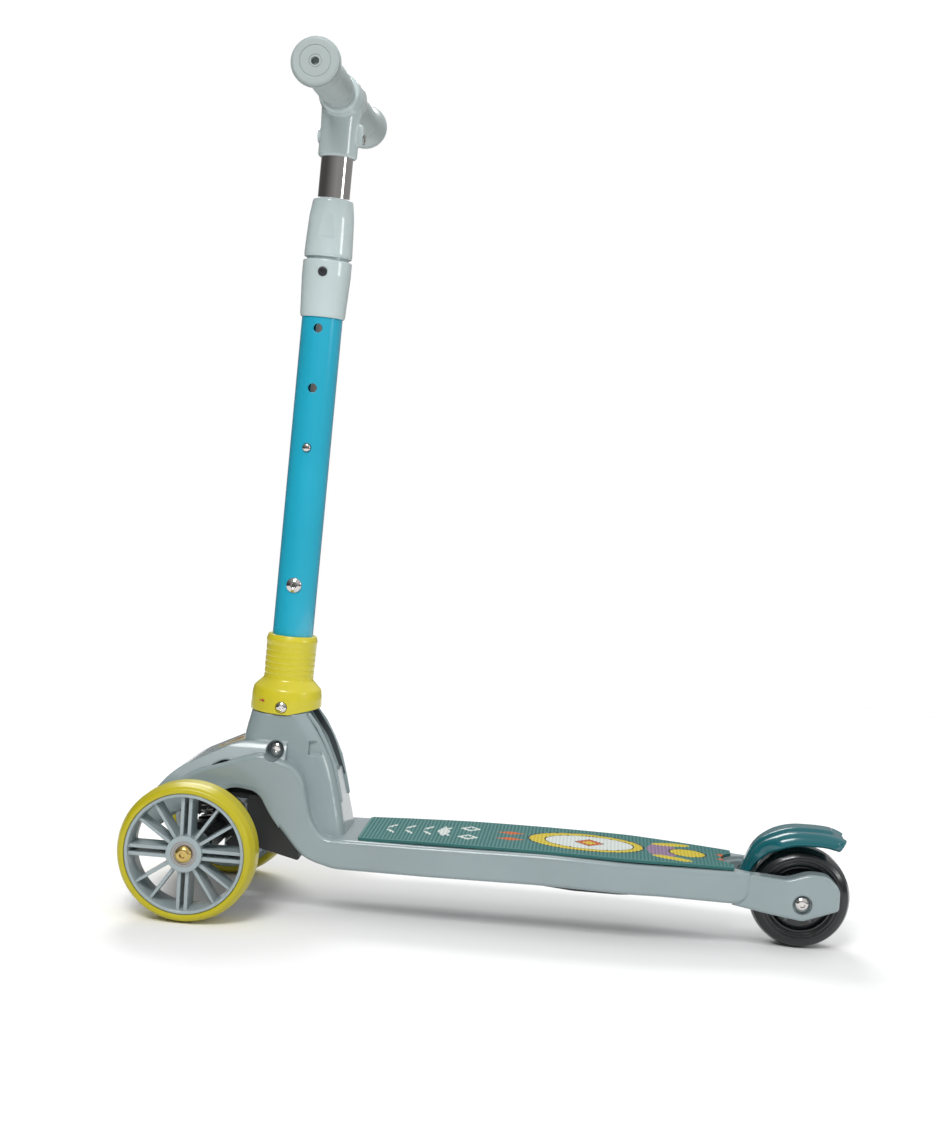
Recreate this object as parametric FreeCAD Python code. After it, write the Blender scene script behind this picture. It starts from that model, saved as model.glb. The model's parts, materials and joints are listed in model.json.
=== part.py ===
import FreeCAD, Part
import math
import os

# Kick scooter for children: three wheels, lean steering, folding and telescopic steering stem.
# Millimetres. +X is forward, +Y is the scooter's left, +Z is up. The origin lies on the ground,
# midway between the foremost and rearmost points and on the plane of symmetry.

V = FreeCAD.Vector

# ---------------------------------------------------------------- driving dimensions
WHEELBASE = 527.0          # front axle to rear axle
FRONT_R = 60.0             # front tyre radius
REAR_R = 44.0              # rear tyre radius
TRACK = 213.6              # outer face to outer face of the front wheels
FRONT_W = 35.5             # front wheel width
REAR_W = 35.0              # rear wheel width
BAR_HEIGHT = 716.7         # ground to handlebar centre, mast at its lowest setting
BAR_WIDTH = 287.4          # end to end over the grips
DECK_HALF = 55.0           # half width of the standing deck
DECK_TOP = 70.0            # deck skin at the front of the mat
DECK_BOTTOM = 44.0         # lower edge of the deck
WALL = 3.6                 # moulded wall of the deck shell

RUN = 0.05                 # radial clearance of a running fit
GAP = 0.30                 # clearance between pieces of different bodies
SEAT = 0.06                # clearance of a piece seated in its own body

PIVOT_BACK = 60.0          # fold pivot behind the front axle
PIVOT_Z = 142.0            # fold pivot above the ground
RAKE = 2.0                 # stem leans back by this many degrees
NECK_TOP = 30.5            # neck top above the pivot, along the stem

TUBE_R = 18.0              # outer stem tube
TUBE_WALL = 1.8
MAST_R = 14.0              # inner telescopic tube
MAST_WALL = 1.6
BAR_R = 11.0               # handlebar tube
BAR_WALL = 1.5
TUBE_LOW = 21.0            # stem stations, all measured from the pivot along the stem
TUBE_TOP = 440.0
MAST_LOW = 246.0
COLLAR_LOW = 31.0
COLLAR_TOP = 100.0
COLLAR_LIFT = 34.0
STEM_BOLT_AT = 145.0
HOLE_FIRST = 267.0
HOLE_PITCH = 52.5
HOLE_COUNT = 3
SLEEVE_LOW = 382.0
SLEEVE_TOP = 432.0
SLEEVE_SCREW_AT = 421.0
NUT_TOP = 486.0
TEE_LOW = 522.0
TEE_BOLT_AT = 540.0

SLEEVE_R = 21.5            # lower sleeve
SLEEVE_R_LOW = 19.9
NUT_R = 21.2               # twist lock nut
COLLAR_R = 22.1            # fold collar barrel
SKIRT_R = 31.6             # fold collar skirt
TEE_R = 19.4               # handlebar joint barrel
TEE_HALF = 26.0
GRIP_R = 14.6
FLANGE_R = 20.4
CAP_R = 19.6
CAP_T = 3.0

BEARING_R = 11.0           # 608 bearing
BEARING_BORE = 4.0
BEARING_W = 7.0
AXLE_R = 3.95
FOLD_R = 4.0               # fold bolt shank

RIM_R = 51.9
RIM_WALL = 3.2
HUB_R = 15.5

KING_SLOPE = 45.0          # steering axis rises forward at this angle
KING_BACK = 12.5           # steering axis centre behind the front axle
KING_UP = 12.0             # and above it
KING_R = 4.0
KNUCKLE_R = 13.0
KNUCKLE_HALF = 16.0

FORK_IN = 20.6             # inner face of a fork arm
FORK_OUT = 36.5            # outer face
RIM_ROUND = 3.5            # rounding of the deck's long edges
ARM_ROUND = 2.5            # and of the fork arms' edges
MAT_T = 2.4
MAT_HALF = 49.3

# ---------------------------------------------------------------- stations worked out from them
X_FRONT = (WHEELBASE + REAR_R - FRONT_R) / 2
X_REAR = X_FRONT - WHEELBASE
PIVOT_X = X_FRONT - PIVOT_BACK
BAR_AT = (BAR_HEIGHT - PIVOT_Z) / math.cos(math.radians(RAKE))
TUBE_IN = TUBE_R - TUBE_WALL
MAST_IN = MAST_R - MAST_WALL
SLOT_HALF = TUBE_R + GAP
KING = V(X_FRONT - KING_BACK, 0, FRONT_R + KING_UP)
KING_DIR = V(math.cos(math.radians(KING_SLOPE)), 0, math.sin(math.radians(KING_SLOPE)))
WHEEL_IN = TRACK / 2 - FRONT_W


# ---------------------------------------------------------------- shape helpers
def cyl(radius, low, high, axis="Z", at=(0, 0, 0)):
    """Cylinder from low to high along an axis through the point at."""
    way = {"X": V(1, 0, 0), "Y": V(0, 1, 0), "Z": V(0, 0, 1)}[axis]
    return Part.makeCylinder(radius, high - low, V(*at) + way * low, way)


def ring(outer, inner, low, high, axis="Z", at=(0, 0, 0)):
    return cyl(outer, low, high, axis, at).cut(cyl(inner, low - 1, high + 1, axis, at))


def box(x0, x1, y0, y1, z0, z1):
    return Part.makeBox(x1 - x0, y1 - y0, z1 - z0, V(x0, y0, z0))


def place(plane, a, b, c=0.0):
    """Point of a drawing plane: a and b lie in the plane, c is its height."""
    return {"XZ": V(a, c, b), "XY": V(a, b, c), "YZ": V(c, a, b)}[plane]


REACH = 0.49               # most of a run that the rounding of one corner may take


def outline(points, plane, height):
    """Closed wire through (a, b, radius) corners, each rounded as far as its runs allow."""
    count = len(points)
    corners = []
    for i in range(count):
        here = V(points[i][0], points[i][1], 0)
        before = V(points[i - 1][0], points[i - 1][1], 0) - here
        after_i = (i + 1) % count
        after = V(points[after_i][0], points[after_i][1], 0) - here
        shorter = min(before.Length, after.Length)
        before.normalize()
        after.normalize()
        radius = points[i][2] if len(points[i]) > 2 else 0
        half = before.getAngle(after) / 2
        if radius and half < math.pi / 2 - 0.001:
            reach = min(radius / math.tan(half), REACH * shorter)
            radius = reach * math.tan(half)
            middle = (before + after).normalize()
            centre = here + middle * (radius / math.sin(half))
            corners.append((here + before * reach, centre - middle * radius, here + after * reach))
        else:
            corners.append((here, None, here))
    edges = []
    for i in range(count):
        start, bulge, end = [p and place(plane, p.x, p.y, height) for p in corners[i]]
        if bulge:
            edges.append(Part.Arc(start, bulge, end).toShape())
        onward = corners[(i + 1) % count][0]
        onward = place(plane, onward.x, onward.y, height)
        if (onward - end).Length > 0.001:
            edges.append(Part.makeLine(end, onward))
    return Part.Wire(edges)


def prism(points, low, high, plane="XZ"):
    """Rounded outline extruded from low to high, square to its plane."""
    way = place(plane, 0, 0, high - low)
    return Part.Face(outline(points, plane, low)).extrude(way)


def turned(points, axis="Z", at=(0, 0, 0)):
    """Solid of revolution: points are (radius, station, corner radius)."""
    face = Part.Face(outline(points, "XZ", 0))
    solid = face.revolve(V(0, 0, 0), V(0, 0, 1), 360)
    if axis == "Y":
        solid.rotate(V(0, 0, 0), V(1, 0, 0), -90)
    solid.translate(V(*at))
    return solid


def mirror_y(shape):
    return shape.mirror(V(0, 0, 0), V(0, 1, 0))


def on_stem(shape):
    """Carry a piece drawn upright over the origin to its place on the raked stem."""
    copy = shape.copy()
    copy.rotate(V(0, 0, 0), V(0, 1, 0), -RAKE)
    copy.translate(V(PIVOT_X, 0, PIVOT_Z))
    return copy


def on_king(shape):
    """Carry a piece drawn upright over the origin to the steering axis."""
    copy = shape.copy()
    copy.rotate(V(0, 0, 0), V(0, 1, 0), 90 - KING_SLOPE)
    copy.translate(KING)
    return copy


def spring(coil_r, wire_r, low, high, turns):
    """Round wire compression spring along Z."""
    pitch = (high - low) / turns
    helix = Part.makeHelix(pitch, high - low, coil_r)
    section = Part.Wire(Part.makeCircle(wire_r, V(coil_r, 0, 0), V(0, 1, 0)))
    coil = Part.Wire(helix.Edges).makePipeShell([section], True, True)
    coil.translate(V(0, 0, low))
    return coil


def union(first, *others):
    return first.fuse(list(others)).removeSplitter()


def socket(radius, depth, top, axis="Y", sides=6):
    """Hexagonal key recess that opens at the station top and runs depth towards the origin side."""
    step = 2 * math.pi / sides
    hexagon = [(radius * math.cos(i * step), radius * math.sin(i * step)) for i in range(sides)]
    if axis == "Y":
        return prism(hexagon, min(top, top - depth), max(top, top - depth), "XZ")
    return prism(hexagon, min(top, top - depth), max(top, top - depth), "XY")


PIECES = {}


def keep(name, *shapes):
    """Register a sub-part: one solid, or a group of separate solids."""
    solids = [solid for shape in shapes for solid in shape.Solids]
    PIECES[name] = solids


# ---------------------------------------------------------------- deck shell
def deck_top_arc(raise_by):
    """Side line of the slightly crowned deck top, from front to back."""
    return (V(X_FRONT - 134, 0, DECK_TOP + raise_by), V(X_REAR + 223, 0, DECK_TOP + 3 + raise_by),
            V(X_REAR + 52, 0, DECK_TOP - 1.5 + raise_by))


def side_panels():
    """Deck sides and the arch band over the front truck, one outline."""
    f = X_FRONT
    r = X_REAR
    top = DECK_TOP
    low = DECK_BOTTOM
    return [
        (r + 46, low - 4, 60), (r + 125, low, 300), (f - 300, low + 2, 900), (f - 120, low, 40),
        (f - 92, low + 7, 40), (f - 62, low + 42, 120), (f - 50, low + 63, 16), (f - 28, low + 66, 22),
        (f + 8, low + 50, 60), (f + 36, low + 26, 6), (f + 52, low + 28, 8), (f + 50, low + 46, 22),
        (f + 10, low + 77, 90), (f - 50, low + 97, 24), (f - 86, low + 85, 26), (f - 97, low + 40, 40),
        (f - 108, top, 22), (X_REAR + 223, top + 3, 900), (r + 46, top - 2),
    ]


def plan_outline():
    """Deck seen from above: full width amidships, drawn in to the fork."""
    f = X_FRONT
    r = X_REAR
    half = [
        (f + 60, 50.0), (f - 105, 50.0), (f - 200, DECK_HALF), (r + 150, DECK_HALF),
        (r + 62, FORK_OUT + 4), (r + 40, FORK_OUT),
    ]
    rounds = [0, 60, 160, 160, 60, 0]
    left = [(x, y, radius) for (x, y), radius in zip(half, rounds)]
    right = [(x, -y, radius) for (x, y, radius) in reversed(left)]
    return left + right


def hood():
    """Raised crown of the front hood, between the side panels."""
    f = X_FRONT
    low = DECK_BOTTOM
    crown = [
        (f - 70, low + 30), (f + 30, low + 40, 8), (f + 50, low + 36, 8), (f + 53, low + 44, 14),
        (f + 26, low + 77, 60), (f - 24, low + 102, 60), (f - 70, low + 110),
    ]
    front_view = [
        (-50.0, low), (-50.0, low + 66, 30), (-30.0, low + 112, 22), (30.0, low + 112, 22),
        (50.0, low + 66, 30), (50.0, low),
    ]
    arch = [
        (f - 92, 0), (f - 92, low + 7), (f - 62, low + 42, 120), (f - 50, low + 63, 16),
        (f - 28, low + 66, 22), (f + 8, low + 50, 60), (f + 36, low + 26, 6), (f + 36, 0),
    ]
    return prism(crown, -50.0, 50.0).common(prism(front_view, f - 80, f + 70, "YZ")).cut(prism(arch, -60, 60))


def neck():
    """Upstand that carries the fold pivot: rounded sections lofted from the deck up to the collar."""
    p = PIVOT_X
    z = PIVOT_Z
    front = p + 34.0
    sections = [
        (p - 66, front, 38.0, 10, DECK_TOP - 6), (p - 64, front, 37.0, 12, z - 64), (p - 57, front, 33.5, 13, z - 34),
        (p - 50, front - 2, 32.0, 14, z - 10), (p - 42, front - 3, 31.0, 15, z + 8),
        (p - 34, front - 5.5, 30.0, 16, z + 22), (p - 25, front - 7.5, 29.0, 18, z + 36),
    ]
    wires = []
    for back, fore, half, radius, level in sections:
        corners = [(back, -half, radius), (fore, -half, radius), (fore, half, radius), (back, half, radius)]
        wires.append(outline(corners, "XY", level))
    return Part.makeLoft(wires, True, False)


def collar_room():
    """Space above the neck top that the collar and its raised rear edge need."""
    low = COLLAR_LOW
    profile = [
        (-70, low + 11.5), (-12, low + 1.0), (-6, low - 0.5), (60, low - 0.5), (60, low + 60), (-70, low + 60),
    ]
    return on_stem(prism(profile, -60, 60))


def fold_slot(extra=0.0):
    """Space the stem foot and tube sweep through as the stem folds back."""
    reach = TUBE_R + GAP + 0.2
    knuckle = cyl(reach + extra, -SLOT_HALF - extra, SLOT_HALF + extra, "Y", (PIVOT_X, 0, PIVOT_Z))
    lower = box(PIVOT_X - 90, PIVOT_X, -SLOT_HALF - extra, SLOT_HALF + extra, PIVOT_Z - reach - extra,
                PIVOT_Z + 60)
    upper = on_stem(box(-60, reach + extra, -SLOT_HALF - extra, SLOT_HALF + extra, 0, 70))
    return union(knuckle, lower, upper)


def fork_arms():
    r = X_REAR
    z = REAR_R
    arm = [
        (r + 60, DECK_BOTTOM - 5), (r + 28, z - 10.5, 20), (r - 1, z - 14.5, 10), (r - 31.5, z - 3, 4),
        (r - 31.5, z + 16, 12), (r - 20, z + 26.5, 14), (r - 4, z + 27, 24), (r + 14, z + 20.5, 24),
        (r + 60, DECK_TOP - 2.5),
    ]
    arms = prism(arm, -FORK_OUT, FORK_OUT)
    return arms


def notch():
    """Rear cut-out for the wheel and the foot of the brake fender."""
    r = X_REAR
    plan = [
        (r - 60, -FORK_IN), (NOTCH_X, -FORK_IN, FORK_IN - 1), (NOTCH_X, FORK_IN, FORK_IN - 1), (r - 60, FORK_IN),
    ]
    mouth = [
        (r, -29.0), (NOTCH_X + 5, -29.0, 28), (NOTCH_X + 5, 29.0, 28), (r, 29.0),
    ]
    return union(prism(plan, 0, 120, "XY"), prism(mouth, DECK_TOP - 4, 120, "XY").common(
        box(r + 34, r + 80, -40, 40, 0, 120)))


def long_edges(shape):
    """Edges that run round a side face, at its rim."""
    chosen = []
    for edge in shape.Edges:
        ends = [vertex.Point for vertex in edge.Vertexes]
        if len(ends) < 2 or min(abs(end.y) for end in ends) < FORK_OUT - 1 or ends[0].y * ends[1].y < 0:
            continue
        upright = abs(ends[0].x - ends[1].x) < 0.01 and abs(ends[0].y - ends[1].y) < 0.01
        if not upright or shape.BoundBox.XMax < 0:
            chosen.append(edge)
    return chosen


def deck_shell():
    f = X_FRONT
    r = X_REAR
    low = DECK_BOTTOM
    slab = prism(side_panels(), -60, 60).common(prism(plan_outline(), 0, 200, "XY"))
    slab = slab.makeFillet(RIM_ROUND, long_edges(slab))
    arms = fork_arms()
    arms = arms.makeFillet(ARM_ROUND, long_edges(arms))
    body = union(slab, hood(), neck(), arms)
    bay = prism([
        (f - 96, low - 20), (f - 88, low + 12, 10), (f - 56, low + 56, 16), (f - 40, low + 66, 12),
        (f - 24, low + 92, 14), (f + 10, low + 73, 60), (f + 44, low + 42, 14), (f + 47, low - 20),
    ], -50 + WALL, 50 - WALL)
    cells = []
    x_low = r + 74
    x_high = f - 118
    columns = 6
    rows = 3
    rib = 2.6
    half = 46.0
    step_x = (x_high - x_low + rib) / columns
    step_y = (2 * half + rib) / rows
    for i in range(columns):
        for j in range(rows):
            x0 = x_low + i * step_x
            y0 = -half + j * step_y
            if i == 0:
                y0 = -36.0 + j * (72.0 + rib) / rows
                cells.append(box(x0, x0 + step_x - rib, y0, y0 + (72.0 + rib) / rows - rib, low - 10, DECK_TOP - 5))
            else:
                cells.append(box(x0, x0 + step_x - rib, y0, y0 + step_y - rib, low - 10, DECK_TOP - 3))
    body = body.cut([bay, fold_slot(), notch(), collar_room()] + cells)
    bosses = [cyl(4.6, low + 3.3, DECK_TOP - 2, "Z", (x, y, 0)) for x, y in belly_screw_places()]
    bores = [cyl(1.85 + SEAT, 0, low + 9, "Z", (x, y, 0)) for x, y in belly_screw_places()]
    body = union(body, *bosses).cut(bores)
    recess = box(BELLY_X0 - GAP, BELLY_X1 + GAP, -BELLY_HALF - GAP, BELLY_HALF + GAP, 0, low + 3.2)
    fold_bore = cyl(FOLD_R + SEAT, -60, 60, "Y", (PIVOT_X, 0, PIVOT_Z))
    head_well = cyl(8.0, 25.0, 60, "Y", (PIVOT_X, 0, PIVOT_Z))
    nut_well = cyl(8.0, -60, -25.0, "Y", (PIVOT_X, 0, PIVOT_Z))
    rear_bore = cyl(AXLE_R + 0.05, -60, 60, "Y", (r, 0, REAR_R))
    rear_well = cyl(8.4, FORK_OUT - 5, 60, "Y", (r, 0, REAR_R))
    pockets = []
    for side in (-1, 1):
        pockets.append(box(PIVOT_X - 40.5, PIVOT_X - 29, min(side * 27, side * 40), max(side * 27, side * 40),
                           PIVOT_Z - 2.5, PIVOT_Z + 9.5))
    pin_bore = cyl(PIN_R + SEAT, -PIN_HALF - GAP, PIN_HALF + GAP, "Y", (PIN_X, 0, PIN_Z))
    body = body.cut([recess, fold_bore, head_well, nut_well, rear_bore, rear_well, mirror_y(rear_well),
                     pin_bore] + pockets + liner_seats())
    keep("deck_shell", body)


NOTCH_X = X_REAR + 64       # front end of the rear cut-out
BELLY_X0 = X_REAR + 118
BELLY_X1 = X_REAR + 238
BELLY_HALF = 40.0
PIN_X = X_REAR + 51.0
PIN_Z = 60.0
PIN_R = 2.0
PIN_HALF = 29.0


def liner_outline(grow):
    """Dark lining of the slot's rear mouth, drawn in side view."""
    p = PIVOT_X
    z = PIVOT_Z
    return [
        (p - 27 - grow, z + NECK_TOP + 1.5), (p - 47.5 - grow, z + 8, 40), (p - 60 - grow, z - 26, 40),
        (p - 53, z - 26), (p - 37.5, z + 8, 40), (p - 20.5, z + NECK_TOP + 1.5),
    ]


LINER_W = 4.0


def liner_seats():
    seats = []
    for side in (-1, 1):
        y0 = SLOT_HALF + SEAT
        y1 = SLOT_HALF + LINER_W
        seat = prism(liner_outline(20), min(side * (y0 - 2), side * y1), max(side * (y0 - 2), side * y1))
        seats.append(seat)
    return seats


def slot_liner():
    strips = []
    for side in (-1, 1):
        y0 = SLOT_HALF
        y1 = SLOT_HALF + LINER_W - SEAT
        strips.append(prism(liner_outline(0.5), min(side * y0, side * y1), max(side * y0, side * y1)))
    keep("slot_liner", *strips)



def grip_mat():
    """Printed non-slip mat, lying on the crowned deck top."""
    front, middle, back = deck_top_arc(0.05)
    x_notch = NOTCH_X + 10
    lower = Part.Arc(front, middle, back).toShape()
    up = V(0, 0, MAT_T)
    upper = Part.Arc(front + up, middle + up, back + up).toShape()
    ends = [Part.makeLine(front, front + up), Part.makeLine(back, back + up)]
    side = Part.Face(Part.Wire(Part.__sortEdges__([lower, ends[1], upper, ends[0]])))
    side.translate(V(0, -MAT_HALF - 1, 0))
    slab = side.extrude(V(0, 2 * MAT_HALF + 2, 0))
    x0 = X_REAR + 60
    x1 = X_FRONT - 139
    plan = [
        (x1, -MAT_HALF + 4.6, 4), (x1 - 95, -MAT_HALF, 120), (X_REAR + 150, -MAT_HALF, 120), (x0, -34.0, 4),
        (x0, -22, 2), (x_notch, -22, 18), (x_notch, 22, 18), (x0, 22, 2), (x0, 34.0, 4),
        (X_REAR + 150, MAT_HALF, 120), (x1 - 95, MAT_HALF, 120), (x1, MAT_HALF - 4.6, 4),
    ]
    return slab.common(prism(plan, 0, 200, "XY"))


def belly_plate():
    """Dark cover under the middle of the deck, bowed a little below its edge."""
    x0 = BELLY_X0
    x1 = BELLY_X1
    z = DECK_BOTTOM + 3.0
    side = [(x0, z), (x0, z - 3), (x0 + 40, z - 6.2, 80), (x1 - 40, z - 6.2, 80), (x1, z - 3), (x1, z)]
    plate = prism(side, -BELLY_HALF, BELLY_HALF)
    plan = [(x0, -BELLY_HALF, 8), (x1, -BELLY_HALF, 8), (x1, BELLY_HALF, 8), (x0, BELLY_HALF, 8)]
    plate = plate.common(prism(plan, 0, 100, "XY"))
    hollow = [(x0 + 3, z + 1), (x0 + 3, z - 1), (x0 + 40, z - 4, 80), (x1 - 40, z - 4, 80), (x1 - 3, z - 1),
              (x1 - 3, z + 1)]
    plate = plate.cut(prism(hollow, -BELLY_HALF + 3, BELLY_HALF - 3))
    bosses = [cyl(5.0, z - 4.0, z, "Z", (x, y, 0)) for x, y in belly_screw_places()]
    holes = [cyl(1.9, 0, 100, "Z", (x, y, 0)) for x, y in belly_screw_places()]
    return union(plate, *bosses).cut(holes)


def belly_screw_places():
    return [(x, side * 30.0) for x in (BELLY_X0 + 10, BELLY_X1 - 10) for side in (-1, 1)]


def pan_screw(head_r, head_h, shank_r, length):
    """Cross-head screw drawn head up with its seat at the origin."""
    head = turned([(0, 0), (head_r, 0), (head_r, head_h * 0.5, head_h * 0.4), (head_r * 0.5, head_h, head_r * 0.4),
                   (0, head_h)])
    shank = cyl(shank_r, -length, 0.01)
    slot = box(-head_r * 0.55, head_r * 0.55, -head_r * 0.1, head_r * 0.1, head_h * 0.45, head_h + 1)
    cross = slot.fuse(slot.rotated(V(0, 0, 0), V(0, 0, 1), 90))
    return union(head, shank).cut(cross)


def belly_screws():
    screws = []
    for x, y in belly_screw_places():
        screw = pan_screw(3.4, 1.6, 1.85, 6.0).rotated(V(0, 0, 0), V(1, 0, 0), 180)
        screws.append(screw.translated(V(x, y, DECK_BOTTOM - 1.0)))
    return screws


# ---------------------------------------------------------------- front truck
LUG_HALF = 13.0            # half width of the two lugs that hold the steering pin
LUG_IN = KNUCKLE_HALF + 1.0
LUG_OUT = LUG_IN + 7.0
ROOF_Z = DECK_BOTTOM + 59.0
SPRING_Y = 31.0
SPRING_R = 6.2
SPRING_X = X_FRONT - 2.5
BEAM_TOP = FRONT_R + 12.5


def front_housing():
    """Black bracket under the hood: rear block, roof plate and two lugs for the steering pin."""
    f = X_FRONT
    low = DECK_BOTTOM
    block = prism([
        (f - 90, low + 4, 3), (f - 56, low + 12, 10), (f - 42, low + 16, 4), (f - 40, ROOF_Z, 4), (f - 50, ROOF_Z),
        (f - 55.2, low + 55.2), (f - 87.6, low + 11.7),
    ], -50 + WALL + GAP, 50 - WALL - GAP)
    roof = prism([
        (f - 48, ROOF_Z - 4.5), (f + 14, ROOF_Z - 4.5), (f + 22, ROOF_Z - 9.5), (f + 24, ROOF_Z - 6.5),
        (f + 15, ROOF_Z), (f - 48, ROOF_Z),
    ], -40.0, 40.0)
    top_lug = on_king(box(-14, 14, -LUG_HALF, LUG_HALF, LUG_IN, LUG_OUT))
    low_lug = on_king(box(-13, 13, -LUG_HALF, LUG_HALF, -LUG_OUT, -LUG_IN))
    top_web = prism([
        (KING.x + 2, ROOF_Z - 2), (KING.x + 6, ROOF_Z - 10), (KING.x + 26, KING.z + 8), (KING.x + 30, KING.z + 14),
        (f + 16, ROOF_Z - 2),
    ], -LUG_HALF, LUG_HALF)
    low_web = prism([
        (f - 46, low + 14), (f - 46, low + 40), (f - 38, low + 30), (KING.x - 20, KING.z - 4),
        (KING.x - 10, KING.z - 26), (f - 42, low + 2),
    ], -LUG_HALF, LUG_HALF)
    keep_out = on_king(cyl(24.0, -LUG_IN, LUG_IN))
    webs = union(top_web, low_web).cut(keep_out)
    bracket = union(block, roof, top_lug, low_lug, webs)
    hollow = prism([
        (f - 66, low + 14), (f - 50, low + 18), (f - 48, ROOF_Z - 8), (f - 56, low + 44),
    ], LUG_HALF + 4, 40.0)
    bore = on_king(cyl(KING_R + SEAT, -60, 60))
    seats = [cyl(2.0, ROOF_Z - 8, ROOF_Z - 2, "Z", (SPRING_X, side * SPRING_Y, 0)) for side in (-1, 1)]
    screw_holes = [cyl(1.9, low - 10, low + 40, "Z", (f - 62, side * 34, 0)) for side in (-1, 1)]
    wells = [on_king(cyl(8.6, LUG_OUT, LUG_OUT + 7)), on_king(cyl(8.6, -LUG_OUT - 9, -LUG_OUT))]
    return union(bracket.cut([hollow, mirror_y(hollow), bore] + wells + screw_holes), *seats)


def truck_beam():
    """Steering knuckle with its two arms and the axle sockets."""
    knuckle = on_king(cyl(KNUCKLE_R, -KNUCKLE_HALF, KNUCKLE_HALF))
    arm_end = WHEEL_IN - 4.0
    side = [
        (X_FRONT - 13, FRONT_R - 9, 5), (X_FRONT + 11, FRONT_R - 11, 6), (X_FRONT + 12, BEAM_TOP, 6),
        (X_FRONT - 17, BEAM_TOP, 6),
    ]
    arms = prism(side, -arm_end, arm_end)
    ends = cyl(11.5, -arm_end - 2, arm_end + 2, "Y", (X_FRONT, 0, FRONT_R))
    noses = cyl(6.6, -WHEEL_IN + 0.4, WHEEL_IN - 0.4, "Y", (X_FRONT, 0, FRONT_R))
    web = prism([
        (KING.x - 8, KING.z - 8), (X_FRONT, FRONT_R - 8), (X_FRONT + 8, BEAM_TOP), (KING.x + 8, KING.z + 9),
    ], -15.0, 15.0)
    cups = [ring(8.2, SPRING_R + 0.9, BEAM_TOP - 1, BEAM_TOP + 4, "Z", (SPRING_X, side * SPRING_Y, 0))
            for side in (-1, 1)]
    beam = union(knuckle, arms, ends, noses, web, *cups)
    tunnel = on_king(cyl(KNUCKLE_R + 8, KNUCKLE_HALF, 40))
    foot = on_king(cyl(KNUCKLE_R + 8, -40, -KNUCKLE_HALF))
    bore = on_king(cyl(KING_R + 2.0, -40, 40))
    axle = cyl(AXLE_R + SEAT, WHEEL_IN - 34, WHEEL_IN + 5, "Y", (X_FRONT, 0, FRONT_R))
    return beam.cut([tunnel, foot, bore, axle, mirror_y(axle)])


def king_bushes():
    bush = ring(KING_R + 2.0 - SEAT, KING_R + RUN, 2, KNUCKLE_HALF)
    collar = ring(8.0, KING_R + RUN, KNUCKLE_HALF, KNUCKLE_HALF + 0.8)
    upper = on_king(union(bush, collar))
    lower = on_king(union(bush, collar).mirror(V(0, 0, 0), V(0, 0, 1)))
    return [upper, lower]


def king_bolt():
    head = turned([(0, 0), (6.5, 0), (6.5, 4.0, 2.5), (0, 4.0)]).cut(socket(2.6, 2.4, 4.5, "Z"))
    bolt = union(head, cyl(KING_R, -2 * LUG_OUT - 8, 0.01))
    return on_king(bolt.translated(V(0, 0, LUG_OUT)))


def king_nut():
    hexagon = [(6.5 * math.cos(i * math.pi / 3), 6.5 * math.sin(i * math.pi / 3)) for i in range(6)]
    nut = prism(hexagon, -LUG_OUT - 6.5, -LUG_OUT, "XY").cut(cyl(KING_R + SEAT, -80, 0))
    return on_king(nut)


def lean_springs():
    coil = spring(SPRING_R - 1.0, 0.8, BEAM_TOP + 0.9, ROOF_Z - 5.5, 5)
    return [coil.translated(V(SPRING_X, side * SPRING_Y, 0)) for side in (-1, 1)]


def housing_screws():
    screws = []
    for side in (-1, 1):
        screw = pan_screw(3.6, 1.8, 1.85, 16.0).rotated(V(0, 0, 0), V(1, 0, 0), 180)
        screws.append(screw.translated(V(X_FRONT - 62, side * 34, DECK_BOTTOM + 8.5)))
    return screws


# ---------------------------------------------------------------- front wheels (drawn for the left)
def front_rim():
    """Spoked rim: deep barrel, hub with a bearing seat each side, twin and V-shaped spoke pairs."""
    y0 = WHEEL_IN + 0.6
    y1 = TRACK / 2 - 1.0
    lip = 1.6
    barrel = turned([
        (RIM_R - RIM_WALL, y0), (RIM_R, y0), (RIM_R, y1 - 1.2, 1), (RIM_R - 0.8, y1, 0.8), (RIM_R - RIM_WALL, y1, 1),
        (RIM_R - RIM_WALL - lip, (y0 + y1) / 2, 40),
    ], "Y")
    hub = ring(HUB_R, AXLE_R + 2.2, y0 + 1.2, y1 - 0.6, "Y")
    seat_out = cyl(BEARING_R + SEAT, y1 - 0.6 - BEARING_W, y1, "Y")
    seat_in = cyl(BEARING_R + SEAT, y0, y0 + 1.2 + BEARING_W, "Y")
    spoke_in = y0 + 8.0
    spoke_out = y1 - 3.4
    thick = 1.45
    web = 6.0
    spokes = []
    for k in range(4):
        for side in (-1, 1):
            twin = box(HUB_R - 2, RIM_R - RIM_WALL + 0.6, side * 3.3 - thick, side * 3.3 + thick, 0, 1)
            twin = prism([(HUB_R - 2, side * 3.3 - thick), (RIM_R - 2.4, side * 3.3 - thick),
                          (RIM_R - 2.4, side * 3.3 + thick), (HUB_R - 2, side * 3.3 + thick)], spoke_in, spoke_out)
            vee = prism([(HUB_R - 2.5, side * 2.6 - thick), (RIM_R - 2.4, side * 9.6 - thick * 0.8),
                         (RIM_R - 2.4, side * 9.6 + thick * 0.8), (HUB_R - 2.5, side * 2.6 + thick)],
                        spoke_in + web / 2, spoke_out)
            spokes.append(twin.rotated(V(0, 0, 0), V(0, 1, 0), 90 * k))
            spokes.append(vee.rotated(V(0, 0, 0), V(0, 1, 0), 90 * k + 45))
    rim = union(barrel, hub, *spokes)
    return rim.cut([seat_out, seat_in]).translated(V(X_FRONT, 0, FRONT_R))


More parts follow.
